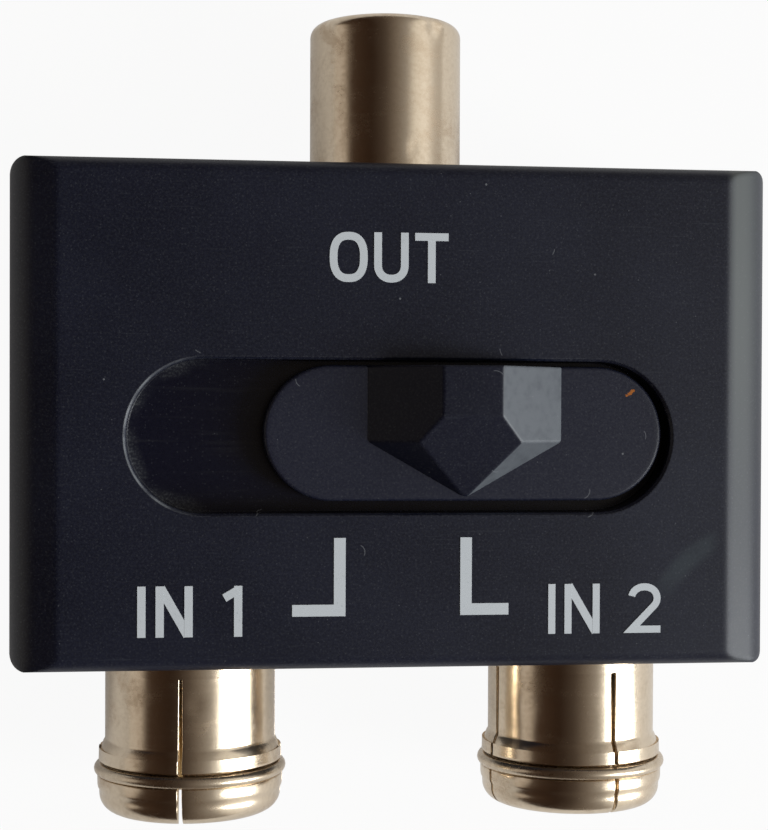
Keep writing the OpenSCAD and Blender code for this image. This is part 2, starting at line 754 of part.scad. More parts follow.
// Wire that runs level from a connector's tail and turns down through the board
module link(hole, tail_y) {
    translate([hole.x, hole.y, 0]) {
        translate([0, 0, board_z - solder_l]) cylinder(h = axis_z - board_z + solder_l, r = link_r);
        translate([0, 0, axis_z]) sphere(link_r);
        translate([0, 0, axis_z]) rotate([tail_y > hole.y ? -90 : 90, 0, 0])
            cylinder(h = abs(tail_y - hole.y), r = link_r);
    }
}

module centre_links() {
    color([0.75, 0.74, 0.72]) {
        link(LINK_HOLES[0], case_h / 2 + plug_tail_z);
        link(LINK_HOLES[1], -case_h / 2 - socket_tail_z);
        link(LINK_HOLES[2], -case_h / 2 - socket_tail_z);
    }
}

module load_resistor() {
    reach = resistor_l / 2 + resistor_lead;
    color([0.75, 0.6, 0.4]) translate([resistor_x, resistor_y, board_top_z + resistor_r + wire_gap]) {
        rotate([0, 90, 0]) cylinder(h = resistor_l, r = resistor_r, center = true);
        rotate([0, 90, 0]) cylinder(h = 2 * reach, r = link_r, center = true);
        for (end = [-1, 1]) translate([end * reach, 0, 0]) {
            sphere(link_r);
            translate([0, 0, -resistor_r - wire_gap - board_t - solder_l])
                cylinder(h = resistor_r + wire_gap + board_t + solder_l, r = link_r);
        }
    }
}

front_case();
rear_cover();
cover_screws();
slider_knob();
plug_shell();
plug_insulator();
plug_pin();
left_socket_shell();
left_spring_ring();
left_socket_insulator();
left_socket_contact();
right_socket_shell();
right_spring_ring();
right_socket_insulator();
right_socket_contact();
chassis();
circuit_board();
switch_frame();
switch_base();
fixed_contacts();
slide_carriage();
bridge_contacts();
centre_links();
load_resistor();
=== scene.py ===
# %% [markdown]
# A coaxial aerial switch box, dressed for a picture.
# The measured solids come from the frame: they fix every size and every place.
# This script gives them their surfaces, rebuilds the pieces whose soft edges the
# eye notices, and lights them as a plain photograph on white paper would.

from math import radians

import bmesh
import bpy
import numpy as np
from mathutils import Matrix, Vector


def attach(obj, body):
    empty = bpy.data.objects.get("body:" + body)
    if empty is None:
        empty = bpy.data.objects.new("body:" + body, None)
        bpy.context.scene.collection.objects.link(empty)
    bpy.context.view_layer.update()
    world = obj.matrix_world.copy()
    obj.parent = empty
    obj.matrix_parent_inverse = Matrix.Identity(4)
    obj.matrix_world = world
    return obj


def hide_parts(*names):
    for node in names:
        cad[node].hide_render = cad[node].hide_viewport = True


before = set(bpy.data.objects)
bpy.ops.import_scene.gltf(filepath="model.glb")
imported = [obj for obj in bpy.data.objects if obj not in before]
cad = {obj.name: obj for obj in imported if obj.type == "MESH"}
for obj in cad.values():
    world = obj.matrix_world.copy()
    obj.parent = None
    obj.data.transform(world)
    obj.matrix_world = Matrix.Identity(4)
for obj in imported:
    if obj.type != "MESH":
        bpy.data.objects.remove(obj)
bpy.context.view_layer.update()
MM = 0.001
print("solids in the frame:", len(cad))

# %% [markdown]
# The sizes of the real box, in millimetres, once for the whole script.
# X runs along the two sockets, Y points towards the plug, Z points out of the face.
# Every new surface below takes its place from these values, so a change here
# moves the finish and the metalwork together.

# %% Sizes of the box
CASE_W, CASE_H, CASE_T = 45.8, 30.0, 16.0
AXIS_Z = CASE_T / 2
EDGE_Y = CASE_H / 2
SOCKET_X = 12.2
RECESS_Y, FLOOR_Z = -1.23, 14.0
RECESS_END_X, RECESS_R = -11.53, 4.53  # middle and radius of the recess's left end
KNOB_X, KNOB_Y = 3.95, -1.03
print("face:", CASE_W, "by", CASE_H, "mm; connector axes", AXIS_Z, "mm above the back")

# %% [markdown]
# The camera stood almost straight above the box, a little to the left and very close:
# about ten centimetres from the face. That closeness is what makes the right-hand
# side wall disappear and the left-hand rounding look wide, so the distance matters
# as much as the angle. The lens is given in pixels of the picture and turned into
# Blender's millimetres on a 36 mm sensor. The small shift puts the lens's middle where
# the photograph has it, a little below and left of the picture's own.

# %% Camera
PICTURE_W, PICTURE_H = 768, 830
LENS_PX, MIDDLE_X_PX, MIDDLE_Y_PX = 1718.0, 382.4, 435.2
SENSOR_MM = 36
EYE = Vector((-13.31, 0.08, 116.60)) * MM
TURN_Y, TURN_X, TURN_Z = radians(-6.942), radians(-0.694), radians(0.212)

lens = bpy.data.cameras.new("close_up_lens")
lens.sensor_width = SENSOR_MM
lens.lens = LENS_PX * SENSOR_MM / PICTURE_H
lens.shift_x = (PICTURE_W / 2 - MIDDLE_X_PX) / PICTURE_H
lens.shift_y = (MIDDLE_Y_PX - PICTURE_H / 2) / PICTURE_H
lens.clip_start = 5 * MM
camera = bpy.data.objects.new("close_up", lens)
bpy.context.scene.collection.objects.link(camera)
turn = Matrix.Rotation(TURN_Y, 4, "Y") @ Matrix.Rotation(TURN_X, 4, "X") @ Matrix.Rotation(TURN_Z, 4, "Z")
camera.matrix_world = Matrix.Translation(EYE) @ turn
bpy.context.scene.camera = camera
bpy.context.scene.view_settings.view_transform = "Standard"
print("lens %.1f mm at %.0f mm above the back" % (lens.lens, EYE.z / MM))

# %% [markdown]
# Shader maths is easier to read as a sum than as a web of nodes.
# A Wire is one socket of a node tree; adding, subtracting or multiplying wires
# makes the Math nodes behind the scenes, also when the number comes first.
# Any other node comes from Finish.node, which sets the node's own settings first
# and then its sockets, so every finish below reads as a short recipe.

# %% Wires
def math_method(operation, swapped=False):
    """A method of Wire: one Math node of the wire and, where it takes one, another value."""
    def method(wire, other=None):
        first, second = (other, wire) if swapped else (wire, other)
        return wire.sum(operation, first, second)
    return method


class Wire:
    """One socket of a node tree, with + - * and powers written as Python sums."""

    def __init__(self, tree, socket):
        self.tree, self.socket = tree, socket

    def sum(self, operation, first, second=None, clamp=False):
        node = self.tree.nodes.new("ShaderNodeMath")
        node.operation, node.use_clamp = operation, clamp
        for slot, value in enumerate((first, second)):
            if value is not None:
                join(self.tree, value, node.inputs[slot])
        return Wire(self.tree, node.outputs[0])

    __add__ = math_method("ADD")
    __radd__ = math_method("ADD", swapped=True)
    __sub__ = math_method("SUBTRACT")
    __rsub__ = math_method("SUBTRACT", swapped=True)
    __mul__ = math_method("MULTIPLY")
    __rmul__ = math_method("MULTIPLY", swapped=True)
    __pow__ = math_method("POWER")
    __abs__ = math_method("ABSOLUTE")
    above = math_method("GREATER_THAN")
    most = math_method("MAXIMUM")

    def held(self):
        """The same value, kept between 0 and 1."""
        return self.sum("ADD", self, 0.0, clamp=True)


def join(tree, value, socket):
    """Links a wire to a socket, or writes a plain value into it."""
    if isinstance(value, Wire):
        tree.links.new(value.socket, socket)
    elif isinstance(value, (tuple, list)) and len(value) == 3 and len(socket.default_value) == 4:
        socket.default_value = (*value, 1.0)
    else:
        socket.default_value = value


# %% [markdown]
# A Finish holds one material's nodes. Its small methods are the words that the recipes
# are written in: place and axes say where on the object a point lies, noise and
# stretched make patterns, band and fades turn a pattern or a distance into a share
# from 0 to 1, and blend lays one colour over another by that share.

# %% Finishes
class Finish:
    """A material or a world, and the nodes that feed it."""

    def __init__(self, name, tree=None):
        self.material = None
        if tree is None:
            self.material = bpy.data.materials.new(name)
            self.material.use_nodes = True
            tree = self.material.node_tree
        self.tree = tree
        tree.nodes.clear()

    def node(self, kind, settings=None, inputs=None, out=0):
        """One node: its settings first, then the values or wires of its sockets."""
        node = self.tree.nodes.new("ShaderNode" + kind)
        for name, value in (settings or {}).items():
            if name == "stops":
                steps = node.color_ramp.elements
                steps.remove(steps[-1])
                steps[0].position, steps[0].color = value[0][0], (*value[0][1], 1.0)
                for place, colour in value[1:]:
                    steps.new(place).color = (*colour, 1.0)
            else:
                setattr(node, name, value)
        for name, value in (inputs or {}).items():
            join(self.tree, value, node.inputs[name])
        return Wire(self.tree, node.outputs[out]) if node.outputs else None

    def place(self):
        """Where on the object: metres from the box's own origin."""
        return self.node("TexCoord", out="Object")

    def parts(self, vector):
        """The X, Y and Z of a vector, as three wires."""
        node = self.tree.nodes.new("ShaderNodeSeparateXYZ")
        join(self.tree, vector, node.inputs[0])
        return [Wire(self.tree, socket) for socket in node.outputs]

    def axes(self, place):
        """The X, Y and Z of a place, in millimetres."""
        return [part * (1 / MM) for part in self.parts(place)]

    def stretched(self, place, scale, turn=(0, 0, 0)):
        """A place turned and scaled: a pattern on it is long where the scale is small."""
        return self.node("Mapping", inputs={"Vector": place, "Scale": scale, "Rotation": turn})

    def noise(self, place, feature, detail=2.0, rough=0.5, twist=0.0):
        """Soft random pattern whose spots are about as wide as feature, in millimetres."""
        return self.node("TexNoise", inputs={
            "Vector": place, "Scale": 1 / (feature * MM), "Detail": detail,
            "Roughness": rough, "Distortion": twist})

    def band(self, wire, low, high, to_low=0.0, to_high=1.0):
        """Eases a wire from one level to another while it goes from low to high."""
        return self.node("MapRange", {"interpolation_type": "SMOOTHSTEP"}, {
            "Value": wire, "From Min": low, "From Max": high, "To Min": to_low, "To Max": to_high})

    def fades(self, wire, full, gone):
        """1 while the wire is under full, easing to 0 where it reaches gone."""
        return 1.0 - self.band(wire, full, gone)

    def blend(self, share, first, second):
        """Colour that goes from first to second with share."""
        node = self.tree.nodes.new("ShaderNodeMix")
        node.data_type = "RGBA"
        join(self.tree, share, node.inputs["Factor"])
        join(self.tree, first, node.inputs[6])
        join(self.tree, second, node.inputs[7])
        return Wire(self.tree, node.outputs[2])

    def bump(self, height, strength, distance, under=None):
        """A normal raised by height, over another normal where one is given."""
        inputs = {"Height": height, "Strength": strength, "Distance": distance * MM}
        if under is not None:
            inputs["Normal"] = under
        return self.node("Bump", inputs=inputs)

    def surface(self, **sockets):
        """Ends the recipe: the Principled shader with these sockets, underscores for blanks."""
        named = {name.replace("_", " "): value for name, value in sockets.items()}
        shader = self.node("BsdfPrincipled", inputs=named)
        self.node("OutputMaterial", inputs={"Surface": shader})
        return self.material


print("recipes ready")

# %% [markdown]
# Handling leaves the same marks on all the plastics: hairline scratches, dust and
# a few curled fibres. A scratch is noise drawn out along a line and cut high. Dust is
# a scattered pattern of cells, of which only some hold a round speck. A fibre is a
# short piece of a circle's line. Each of them is a share from 0 to 1, and the largest
# share wins where they meet. All sizes here are in millimetres.

# %% Marks that handling leaves
DUST = [  # width of a cell, share of cells that hold a speck, size of a speck, strength
    (1.7, 0.20, 0.085, 0.7), (0.6, 0.14, 0.050, 0.35), (5.5, 0.35, 0.15, 1.0), (0.21, 0.42, 0.062, 0.09),
]
FIBRE_THICK, FIBRE_STRENGTH = 0.036, 0.45


def scratches(finish, place, turn_deg, spread, feature):
    """Thin broken lines: noise stretched spread times along the line, and cut high."""
    along = finish.stretched(place, (1 / spread, 1.0, 1.0), (0, 0, radians(turn_deg)))
    lines = finish.noise(along, feature, detail=1.0)
    return finish.band(lines, 0.70, 0.76)


def specks(finish, place, cell, share, size):
    """Dust: one round speck in some cells of a scattered pattern."""
    flat = finish.stretched(place, (1.0, 1.0, 0.12))
    inputs = {"Vector": flat, "Scale": 1 / (cell * MM), "Randomness": 1.0}
    near = finish.node("TexVoronoi", {"feature": "F1"}, inputs, out="Distance")
    shade = finish.node("TexVoronoi", {"feature": "F1"}, inputs, out="Color")
    lot = finish.node("SeparateColor", inputs={"Color": shade})
    spread = size / cell
    return finish.fades(near, spread * 0.4, spread) * lot.above(1.0 - share)


def apart(x, y, middle):
    """Distance from a point, seen from the front: the root of the two squares."""
    return ((x - middle[0]) ** 2.0 + (y - middle[1]) ** 2.0) ** 0.5


def fibre(finish, x, y, middle, radius, heading_deg, reach):
    """A curled hair: the stretch of a circle's line that lies within reach of its middle."""
    away = radians(heading_deg)
    centre = (float(middle[0] + radius * np.cos(away)), float(middle[1] + radius * np.sin(away)))
    line = finish.fades(abs(apart(x, y, centre) - radius), FIBRE_THICK * 0.4, FIBRE_THICK)
    return line * finish.fades(apart(x, y, middle), reach * 0.7, reach)


def dusting(finish, place, x, y, amount, fibres):
    """All the pale things that lie on a surface, as one share from 0 to 1."""
    layers = [specks(finish, place, cell, share, size) * (amount * strength)
              for cell, share, size, strength in DUST]
    layers += [fibre(finish, x, y, *hair) * (amount * FIBRE_STRENGTH) for hair in fibres]
    dust = layers[0]
    for layer in layers[1:]:
        dust = dust.most(layer)
    return dust


print("dust:", len(DUST), "sizes of speck")

# %% [markdown]
# The solids have knife-sharp edges, and no real moulding has. Rounding the mesh would
# change the measured solid, and it isn't needed: the Bevel node turns the normals near
# an edge, so that light rounds it. Where the turned normal departs from the surface's
# own there is an edge, which is just where plastic wears pale, so one node serves
# both. The case's two outer strips are rounded more widely.

# %% Soft and worn edges
def worn_edge(finish, radius):
    """Where there is an edge, from 0 to 1, and the normal rounded over it."""
    rounded = finish.node("Bevel", {"samples": 6}, {"Radius": radius * MM})
    own = finish.node("NewGeometry", out="Normal")
    same = finish.node("VectorMath", {"operation": "DOT_PRODUCT"}, {0: rounded, 1: own}, out="Value")
    return finish.band(1.0 - same, 0.01, 0.10), rounded


def softer(finish, share, normal, radius):
    """The normal, and where share is 1 one that is rounded over a wider radius instead."""
    wide = finish.node("Bevel", {"samples": 8}, {"Radius": radius * MM})
    kept = finish.node("VectorMath", {"operation": "SCALE"}, {"Vector": normal, "Scale": 1.0 - share})
    taken = finish.node("VectorMath", {"operation": "SCALE"}, {"Vector": wide, "Scale": share})
    total = finish.node("VectorMath", {"operation": "ADD"}, {0: kept, 1: taken})
    return finish.node("VectorMath", {"operation": "NORMALIZE"}, {0: total})


# %% [markdown]
# The case and the slider are injection-moulded black plastic. The tool was
# spark-eroded, which leaves a fine, even grain. The colour is a black with a little
# blue in it. A single black would look like a hole in the picture, so the recipe
# layers clouds, grain, scratches, worn edges and dust over the base. One recipe makes
# all three blacks: what only one piece has comes in through extra, further down.

# %% Moulded black plastic
EDGE_ROUND, STRIP_ROUND = 0.12, 0.55
STRIP_FROM, STRIP_TO = 18.4, 19.0
GRAIN_TINT, SCRATCH_TINT = (0.075, 0.082, 0.092), (0.08, 0.09, 0.11)
EDGE_TINT, DUST_TINT = (0.16, 0.17, 0.18), (0.30, 0.32, 0.35)


def moulded(name, deep, pale, gloss, dust_amount, fibres, extra, specular=0.5, powder=0.18):
    """Grained black plastic; extra(finish, x, y, z, colour, rough) adds what only one piece has."""
    finish = Finish(name)
    place = finish.place()
    x, y, z = finish.axes(place)
    clouds = finish.noise(place, 9.0, detail=3.0)
    fine = finish.noise(place, 0.17, detail=2.0, rough=0.6)
    grain = finish.noise(place, 0.13, detail=1.0)
    marks = scratches(finish, place, 12, 22.0, 0.10).most(scratches(finish, place, -35, 30.0, 0.12))
    tone = finish.band(clouds, 0.3, 0.7) * 0.45 + finish.band(fine, 0.3, 0.7) * 0.55
    colour = finish.blend(tone, deep, pale)
    colour = finish.blend(finish.band(grain, 0.46, 0.72) * powder, colour, GRAIN_TINT)
    colour = finish.blend(marks * 0.12, colour, SCRATCH_TINT)
    edge, rounded = worn_edge(finish, EDGE_ROUND)
    rounded = softer(finish, finish.band(abs(x), STRIP_FROM, STRIP_TO), rounded, STRIP_ROUND)
    colour = finish.blend(edge * 0.40 * finish.band(fine, 0.35, 0.6), colour, EDGE_TINT)
    rough = gloss + (fine - 0.5) * 0.16 + (clouds - 0.5) * 0.10
    colour, rough = extra(finish, x, y, z, colour, rough)
    dust = dusting(finish, place, x, y, dust_amount, fibres)
    colour = finish.blend(dust, colour, DUST_TINT)
    rough = rough + dust * 0.3
    normal = finish.bump(fine, 0.10, 0.02, rounded)
    normal = finish.bump(marks, 0.06, 0.01, normal)
    return finish.surface(Base_Color=colour, Roughness=rough.held(), Normal=normal,
                          Specular_IOR_Level=specular)


# %% [markdown]
# Three things are found on the case alone. A thumb has left a curved wipe mark near
# the lower right corner of the face. The right-hand strip carries a painted highlight:
# its colour is paler where the window's light falls, most of all towards the plug.
# The recess is coloured darker than the face as painted shade, and it is smoother, with
# streaks along the slider's way; its floor is paler in a speckled patch near its left
# end, and that end's lip carries a thin painted highlight. All are worked out from X, Y
# and Z in millimetres, so they stay in place when the box is turned.

# %% Marks and painted light of the case alone
WIPE_MIDDLE, WIPE_R = (21.9, -13.6), 6.6
WIPE_TINT, STRIP_HIGHLIGHT_TINT = (0.05, 0.07, 0.085), (0.120, 0.134, 0.136)
RECESS_SHADE_TINT, STREAK_TINT = (0.001, 0.002, 0.014), (0.022, 0.024, 0.034)
LEFT_END_TINT, LIP_HIGHLIGHT_TINT = (0.13, 0.14, 0.15), (0.24, 0.26, 0.28)


def wipe_mark(finish, x, y, z, patch):
    """A band along a circle's line, on the face alone, and cut off at both ends."""
    smear = finish.fades(abs(apart(x, y, WIPE_MIDDLE) - WIPE_R), 0.2, 0.9) * finish.band(y, -11.6, -9.4)
    smear = smear * finish.fades(x, 18.6, 19.7) * finish.band(patch, 0.3, 0.6, 0.5, 1.0)
    return smear * finish.band(z, CASE_T - 0.7, CASE_T - 0.3)


def strip_highlight(finish, x, y, z):
    """Painted highlight: the right-hand strip and the upper half of the side below it, paler where the
    window's light falls.
    """
    strip = finish.band(x, 19.8, 20.6) * finish.band(y, -11.0, 9.0, 0.26, 1.0)
    return strip * finish.band(z, 8.0, 13.0) * (1.0 - finish.band(x, 21.0, 22.4) * 0.75)


def in_recess(finish, x, y, z):
    """1 in the recess: between its floor and the face, and well away from the case's sides."""
    inside = finish.band(z, FLOOR_Z - 0.1, FLOOR_Z) * finish.fades(z, CASE_T - 0.3, CASE_T - 0.1)
    inside = inside * finish.fades(abs(x), 17.4, 17.9)
    return inside * finish.fades(abs(y - RECESS_Y), 6.0, 6.5)


def paler_left_end(finish, x, end_r, patch):
    """A speckled paler patch near the wall of the recess's left end, end_r being the distance from its
    middle.
    """
    speckle = finish.noise(finish.place(), 0.14, detail=3.0)
    near_end = finish.band(end_r + patch * 1.2, 4.3, 5.2) * finish.fades(x, -13.0, -10.0)
    near_end = near_end * finish.band(patch, 0.38, 0.62, 0.25, 1.0)
    return near_end * (finish.band(speckle, 0.44, 0.66) * 0.45 + 0.16)


def lip_highlight(finish, x, z, end_r, patch):
    """Painted highlight: a thin pale line on the edge of the recess's left end."""
    lip = finish.fades(abs(end_r - RECESS_R - 0.10), 0.02, 0.09)
    lip = lip * finish.band(z, CASE_T - 0.3, CASE_T - 0.12) * finish.fades(x, -14.2, -11.8)
    return lip * finish.band(patch, 0.35, 0.6, 0.15, 0.8)


def case_marks(finish, x, y, z, colour, rough):
    """On the case: the wipe mark, the painted highlight on the right strip, and the recess with its painted
    shade, its paler left end and the painted highlight on its lip.
    """
    patch = finish.noise(finish.place(), 1.6, detail=3.0)
    colour = finish.blend(wipe_mark(finish, x, y, z, patch) * 0.5, colour, WIPE_TINT)
    # Painted highlight: the right-hand strip is coloured paler where the window's light falls.
    colour = finish.blend(strip_highlight(finish, x, y, z), colour, STRIP_HIGHLIGHT_TINT)
    inside = in_recess(finish, x, y, z)
    run = finish.noise(finish.stretched(finish.place(), (0.05, 1.0, 1.0)), 0.35, detail=3.0)
    # Painted shade: the recess is coloured darker than the face.
    colour = finish.blend(inside * 0.8, colour, RECESS_SHADE_TINT)
    colour = finish.blend(finish.band(run, 0.55, 0.78) * inside * 0.6, colour, STREAK_TINT)
    end_r = apart(x, y, (RECESS_END_X, RECESS_Y))
    colour = finish.blend(paler_left_end(finish, x, end_r, patch) * inside, colour, LEFT_END_TINT)
    # Painted highlight on the lip of the recess's left end.
    colour = finish.blend(lip_highlight(finish, x, z, end_r, patch), colour, LIP_HIGHLIGHT_TINT)
    return colour, rough - inside * 0.16


# %% [markdown]
# The slider carries one orange crumb near its right end, a ragged spot drawn out along
# a slanting line. On the pointer, the slanted faces on the right carry a painted highlight:
# their colour is paler where they look towards the window, so that share follows which
# way a face looks, and the case and the slider's plate don't have it.

# %% Marks and painted highlight of the slider, and the three blacks
CRUMB_X, CRUMB_Y, CRUMB_SLANT, CRUMB_THIN = 14.0, 1.4, 0.6, 1.8
CRUMB_TINT, FACET_HIGHLIGHT_TINT = (0.55, 0.17, 0.02), (0.135, 0.150, 0.170)
FACE_FIBRES = [  # middle of the hair, radius of its curl, which way the curl's centre lies, reach
    ((-2.1, -7.9), 0.45, 200, 0.40), ((6.0, 3.8), 0.7, 20, 0.25), ((-8.3, -5.7), 0.5, 300, 0.3),
    ((-11.9, 3.7), 0.9, 60, 0.2), ((9.2, 9.8), 0.8, 160, 0.2), ((11.6, -5.9), 0.6, 130, 0.3),
]
SLIDER_FIBRES = [
    ((-6.1, 1.9), 0.5, 30, 0.3), ((5.4, 2.6), 0.6, 250, 0.35), ((15.0, -1.1), 0.5, 190, 0.3),
    ((5.6, -3.3), 0.4, 80, 0.25), ((11.5, -4.7), 0.5, 150, 0.4),
]


def crumb(finish, x, y, z, colour, rough):
    """On the slider: one small orange crumb near its right end."""
    ragged = finish.noise(finish.place(), 0.18, detail=2.0)
    across = (y - CRUMB_Y - (x - CRUMB_X) * CRUMB_SLANT) * CRUMB_THIN
    away = ((x - CRUMB_X) ** 2.0 + across ** 2.0) ** 0.5
    spot = finish.fades(away + (ragged - 0.5) * 0.5, 0.20, 0.30)
    return finish.blend(spot, colour, CRUMB_TINT), rough


def right_facet_highlight(finish, x, y, z, colour, rough):
    """On the pointer: painted highlight, the faces that look to the right towards the window are paler."""
    rightward = finish.parts(finish.node("TexCoord", out="Normal"))[0]
    patch = finish.noise(finish.place(), 0.7, detail=3.0)
    # Painted highlight: faces that look towards the window on the right are coloured paler.
    share = finish.band(rightward, 0.2, 0.4) * finish.band(patch, 0.2, 0.6, 0.75, 1.0)
    return finish.blend(share, colour, FACET_HIGHLIGHT_TINT), rough


case_black = moulded("case_black", (0.0012, 0.0030, 0.0150), (0.0085, 0.0118, 0.0320), 0.44, 0.9,
                     FACE_FIBRES, case_marks)
pointer_black = moulded("pointer_black", (0.0060, 0.0075, 0.0200), (0.0130, 0.0150, 0.0320), 0.42, 0.8,
                        SLIDER_FIBRES, right_facet_highlight, specular=0.32)
slider_black = moulded("slider_black", (0.0090, 0.0115, 0.0300), (0.0190, 0.0220, 0.0450), 0.42, 0.9,
                       SLIDER_FIBRES, crumb, powder=0.22)
print("plastics:", case_black.name, pointer_black.name, slider_black.name)

# %% [markdown]
# The connectors are turned and rolled brass, plated with nickel and handled for
# decades: the plate has gone the colour of weak tea, with brown stains, fine turning
# lines round the axis and small pits. The parts are round about Y, so the turning
# lines are a noise that keeps its scale along Y and is drawn out long across it.

# %% Worn plate over brass
PIT_TINT = (0.18, 0.12, 0.07)


def plated(name, bright, stained, gloss, lines, stain_share):
    """Nickel over brass: clouds of stain, turning lines round the axis, faint pits."""
    finish = Finish(name)
    place = finish.place()
    turning = finish.noise(finish.stretched(place, (0.04, 1.0, 0.04)), 0.16, detail=3.0, rough=0.6)
    clouds = finish.noise(place, 2.2, detail=4.0, rough=0.55, twist=0.5)
    fine = finish.noise(place, 0.30, detail=3.0, rough=0.6)
    pits = specks(finish, place, 0.8, 0.30, 0.06)
    stain = finish.band(clouds + (fine - 0.5) * 0.22, 0.42, 0.86)
    colour = finish.blend(stain * stain_share, bright, stained)
    colour = finish.blend(finish.band(fine, 0.35, 0.75) * 0.16, colour, stained)
    colour = finish.blend(pits * 0.30, colour, PIT_TINT)
    colour = finish.blend(turning * 0.16, colour, stained)
    rough = gloss + (turning - 0.5) * 0.10 + stain * 0.14 + (fine - 0.5) * 0.10
    normal = finish.bump(turning, lines, 0.008)
    normal = finish.bump(fine, 0.10, 0.015, normal)
    return finish.surface(Base_Color=colour, Metallic=1.0, Roughness=rough.held(), Normal=normal)


sleeve_plate = plated("sleeve_plate", (0.84, 0.72, 0.56), (0.50, 0.36, 0.23), 0.20, 0.15, 0.6)
ring_plate = plated("ring_plate", (0.78, 0.67, 0.52), (0.44, 0.31, 0.20), 0.26, 0.10, 0.6)
contact_plate = plated("contact_plate", (0.80, 0.64, 0.36), (0.42, 0.27, 0.11), 0.22, 0.15, 0.5)
print("metals:", sleeve_plate.name, ring_plate.name, contact_plate.name)

# %% [markdown]
# The marks on the face are screen-printed: a thin film of pale ink, with pinholes
# where the grain of the plastic shows through. Two noises do it, a fine one for the
# holes and a broader one that makes some stretches of the print thinner than others.

# %% Ink
def printed(name, ink, worn):
    """Pale ink that goes towards the worn colour where the film is thin."""
    finish = Finish(name)
    place = finish.place()
    fine = finish.noise(place, 0.12, detail=3.0)
    patch = finish.noise(place, 0.9, detail=2.0)
    thin = finish.band(fine + (patch - 0.5) * 0.5, 0.62, 0.85)
    colour = finish.blend(thin * 0.5, ink, worn)
    return finish.surface(Base_Color=colour, Roughness=0.55 + thin * 0.2,
                          Normal=finish.bump(fine, 0.2, 0.01), Specular_IOR_Level=0.3)


white_ink = printed("white_ink", (0.87, 0.94, 1.00), (0.50, 0.57, 0.62))
print("ink:", white_ink.name)

# %% [markdown]
# The other pieces are inside the box, yet they are looked at too when it is opened or
# when someone looks into a socket, so each has its own recipe. Turned natural
# plastic, paper laminate, dark switch laminate and lacquer differ in tone, in gloss
# and in how their pattern is drawn out, so one recipe with those values serves all.

# %% Natural plastic, laminates and lacquer
INNER_ROUND = 0.06


def plain(name, first, second, feature, gloss, relief, stretch=(1, 1, 1)):
    """Two tones in a cloudy or streaky pattern, with faintly rounded edges."""
    finish = Finish(name)
    place = finish.place()
    broad = finish.noise(finish.stretched(place, stretch), feature, detail=4.0)
    fine = finish.noise(place, 0.1, detail=2.0)
    colour = finish.blend(finish.band(broad, 0.3, 0.7), first, second)
    rough = gloss + (broad - 0.5) * 0.15 + (fine - 0.5) * 0.08
    edge = finish.node("Bevel", {"samples": 4}, {"Radius": INNER_ROUND * MM})
    normal = finish.bump(broad * 0.5 + fine * 0.5, relief, 0.02, edge)
    return finish.surface(Base_Color=colour, Roughness=rough.held(), Normal=normal)


natural_plastic = plain("natural_plastic", (0.74, 0.70, 0.58), (0.82, 0.79, 0.68), 1.2, 0.35, 0.15,
                        (0.2, 1.0, 0.2))
board_laminate = plain("board_laminate", (0.34, 0.20, 0.08), (0.46, 0.30, 0.13), 0.4, 0.5, 0.3,
                       (0.15, 1, 1))
switch_laminate = plain("switch_laminate", (0.07, 0.04, 0.022), (0.12, 0.07, 0.04), 0.3, 0.42, 0.25)
carriage_plastic = plain("carriage_plastic", (0.70, 0.66, 0.54), (0.78, 0.75, 0.63), 1.5, 0.38, 0.15)
lacquer = plain("lacquer", (0.50, 0.34, 0.17), (0.62, 0.45, 0.25), 0.6, 0.3, 0.2)

# %% [markdown]
# Tin and zinc set in crystals, which show as a spangle of slightly different greys,
# and sheet has fine lines from the rollers. The Voronoi texture gives each crystal
# its own random level, which moves both the colour and the gloss.

# %% Sheet and wire metals
def sheet_metal(name, bright, dull, crystal, gloss):
    """Bright metal whose crystals, about as wide as crystal, differ in tone and gloss."""
    finish = Finish(name)
    place = finish.place()
    shade = finish.node("TexVoronoi", {"feature": "F1"},
                        {"Vector": place, "Scale": 1 / (crystal * MM)}, out="Color")
    spangle = finish.node("SeparateColor", inputs={"Color": shade})
    fine = finish.noise(finish.stretched(place, (0.1, 1, 1)), 0.12, detail=2.0)
    haze = finish.noise(place, 3.0, detail=3.0)
    colour = finish.blend(spangle * 0.5 + finish.band(haze, 0.35, 0.75) * 0.5, bright, dull)
    rough = gloss + spangle * 0.12 + (fine - 0.5) * 0.12
    return finish.surface(Base_Color=colour, Metallic=1.0, Roughness=rough.held(),
                          Normal=finish.bump(fine, 0.15, 0.01))


tinplate = sheet_metal("tinplate", (0.74, 0.74, 0.72), (0.58, 0.58, 0.57), 1.4, 0.26)
screw_zinc = sheet_metal("screw_zinc", (0.62, 0.62, 0.64), (0.44, 0.44, 0.47), 0.5, 0.34)
silvered = sheet_metal("silvered", (0.82, 0.80, 0.74), (0.62, 0.58, 0.48), 0.6, 0.28)
spring_bronze = sheet_metal("spring_bronze", (0.76, 0.50, 0.27), (0.56, 0.33, 0.16), 0.8, 0.3)
tinned_wire = sheet_metal("tinned_wire", (0.76, 0.75, 0.72), (0.60, 0.58, 0.54), 0.4, 0.3)
print("inner finishes ready")

# %% [markdown]
# Solids whose shape is already right keep their mesh and only change material.
# The case's skin is one of them: its roundings are true arcs in the solid, so its
# shading is exact, and the Bevel node in the finish looks after the sharp edges.

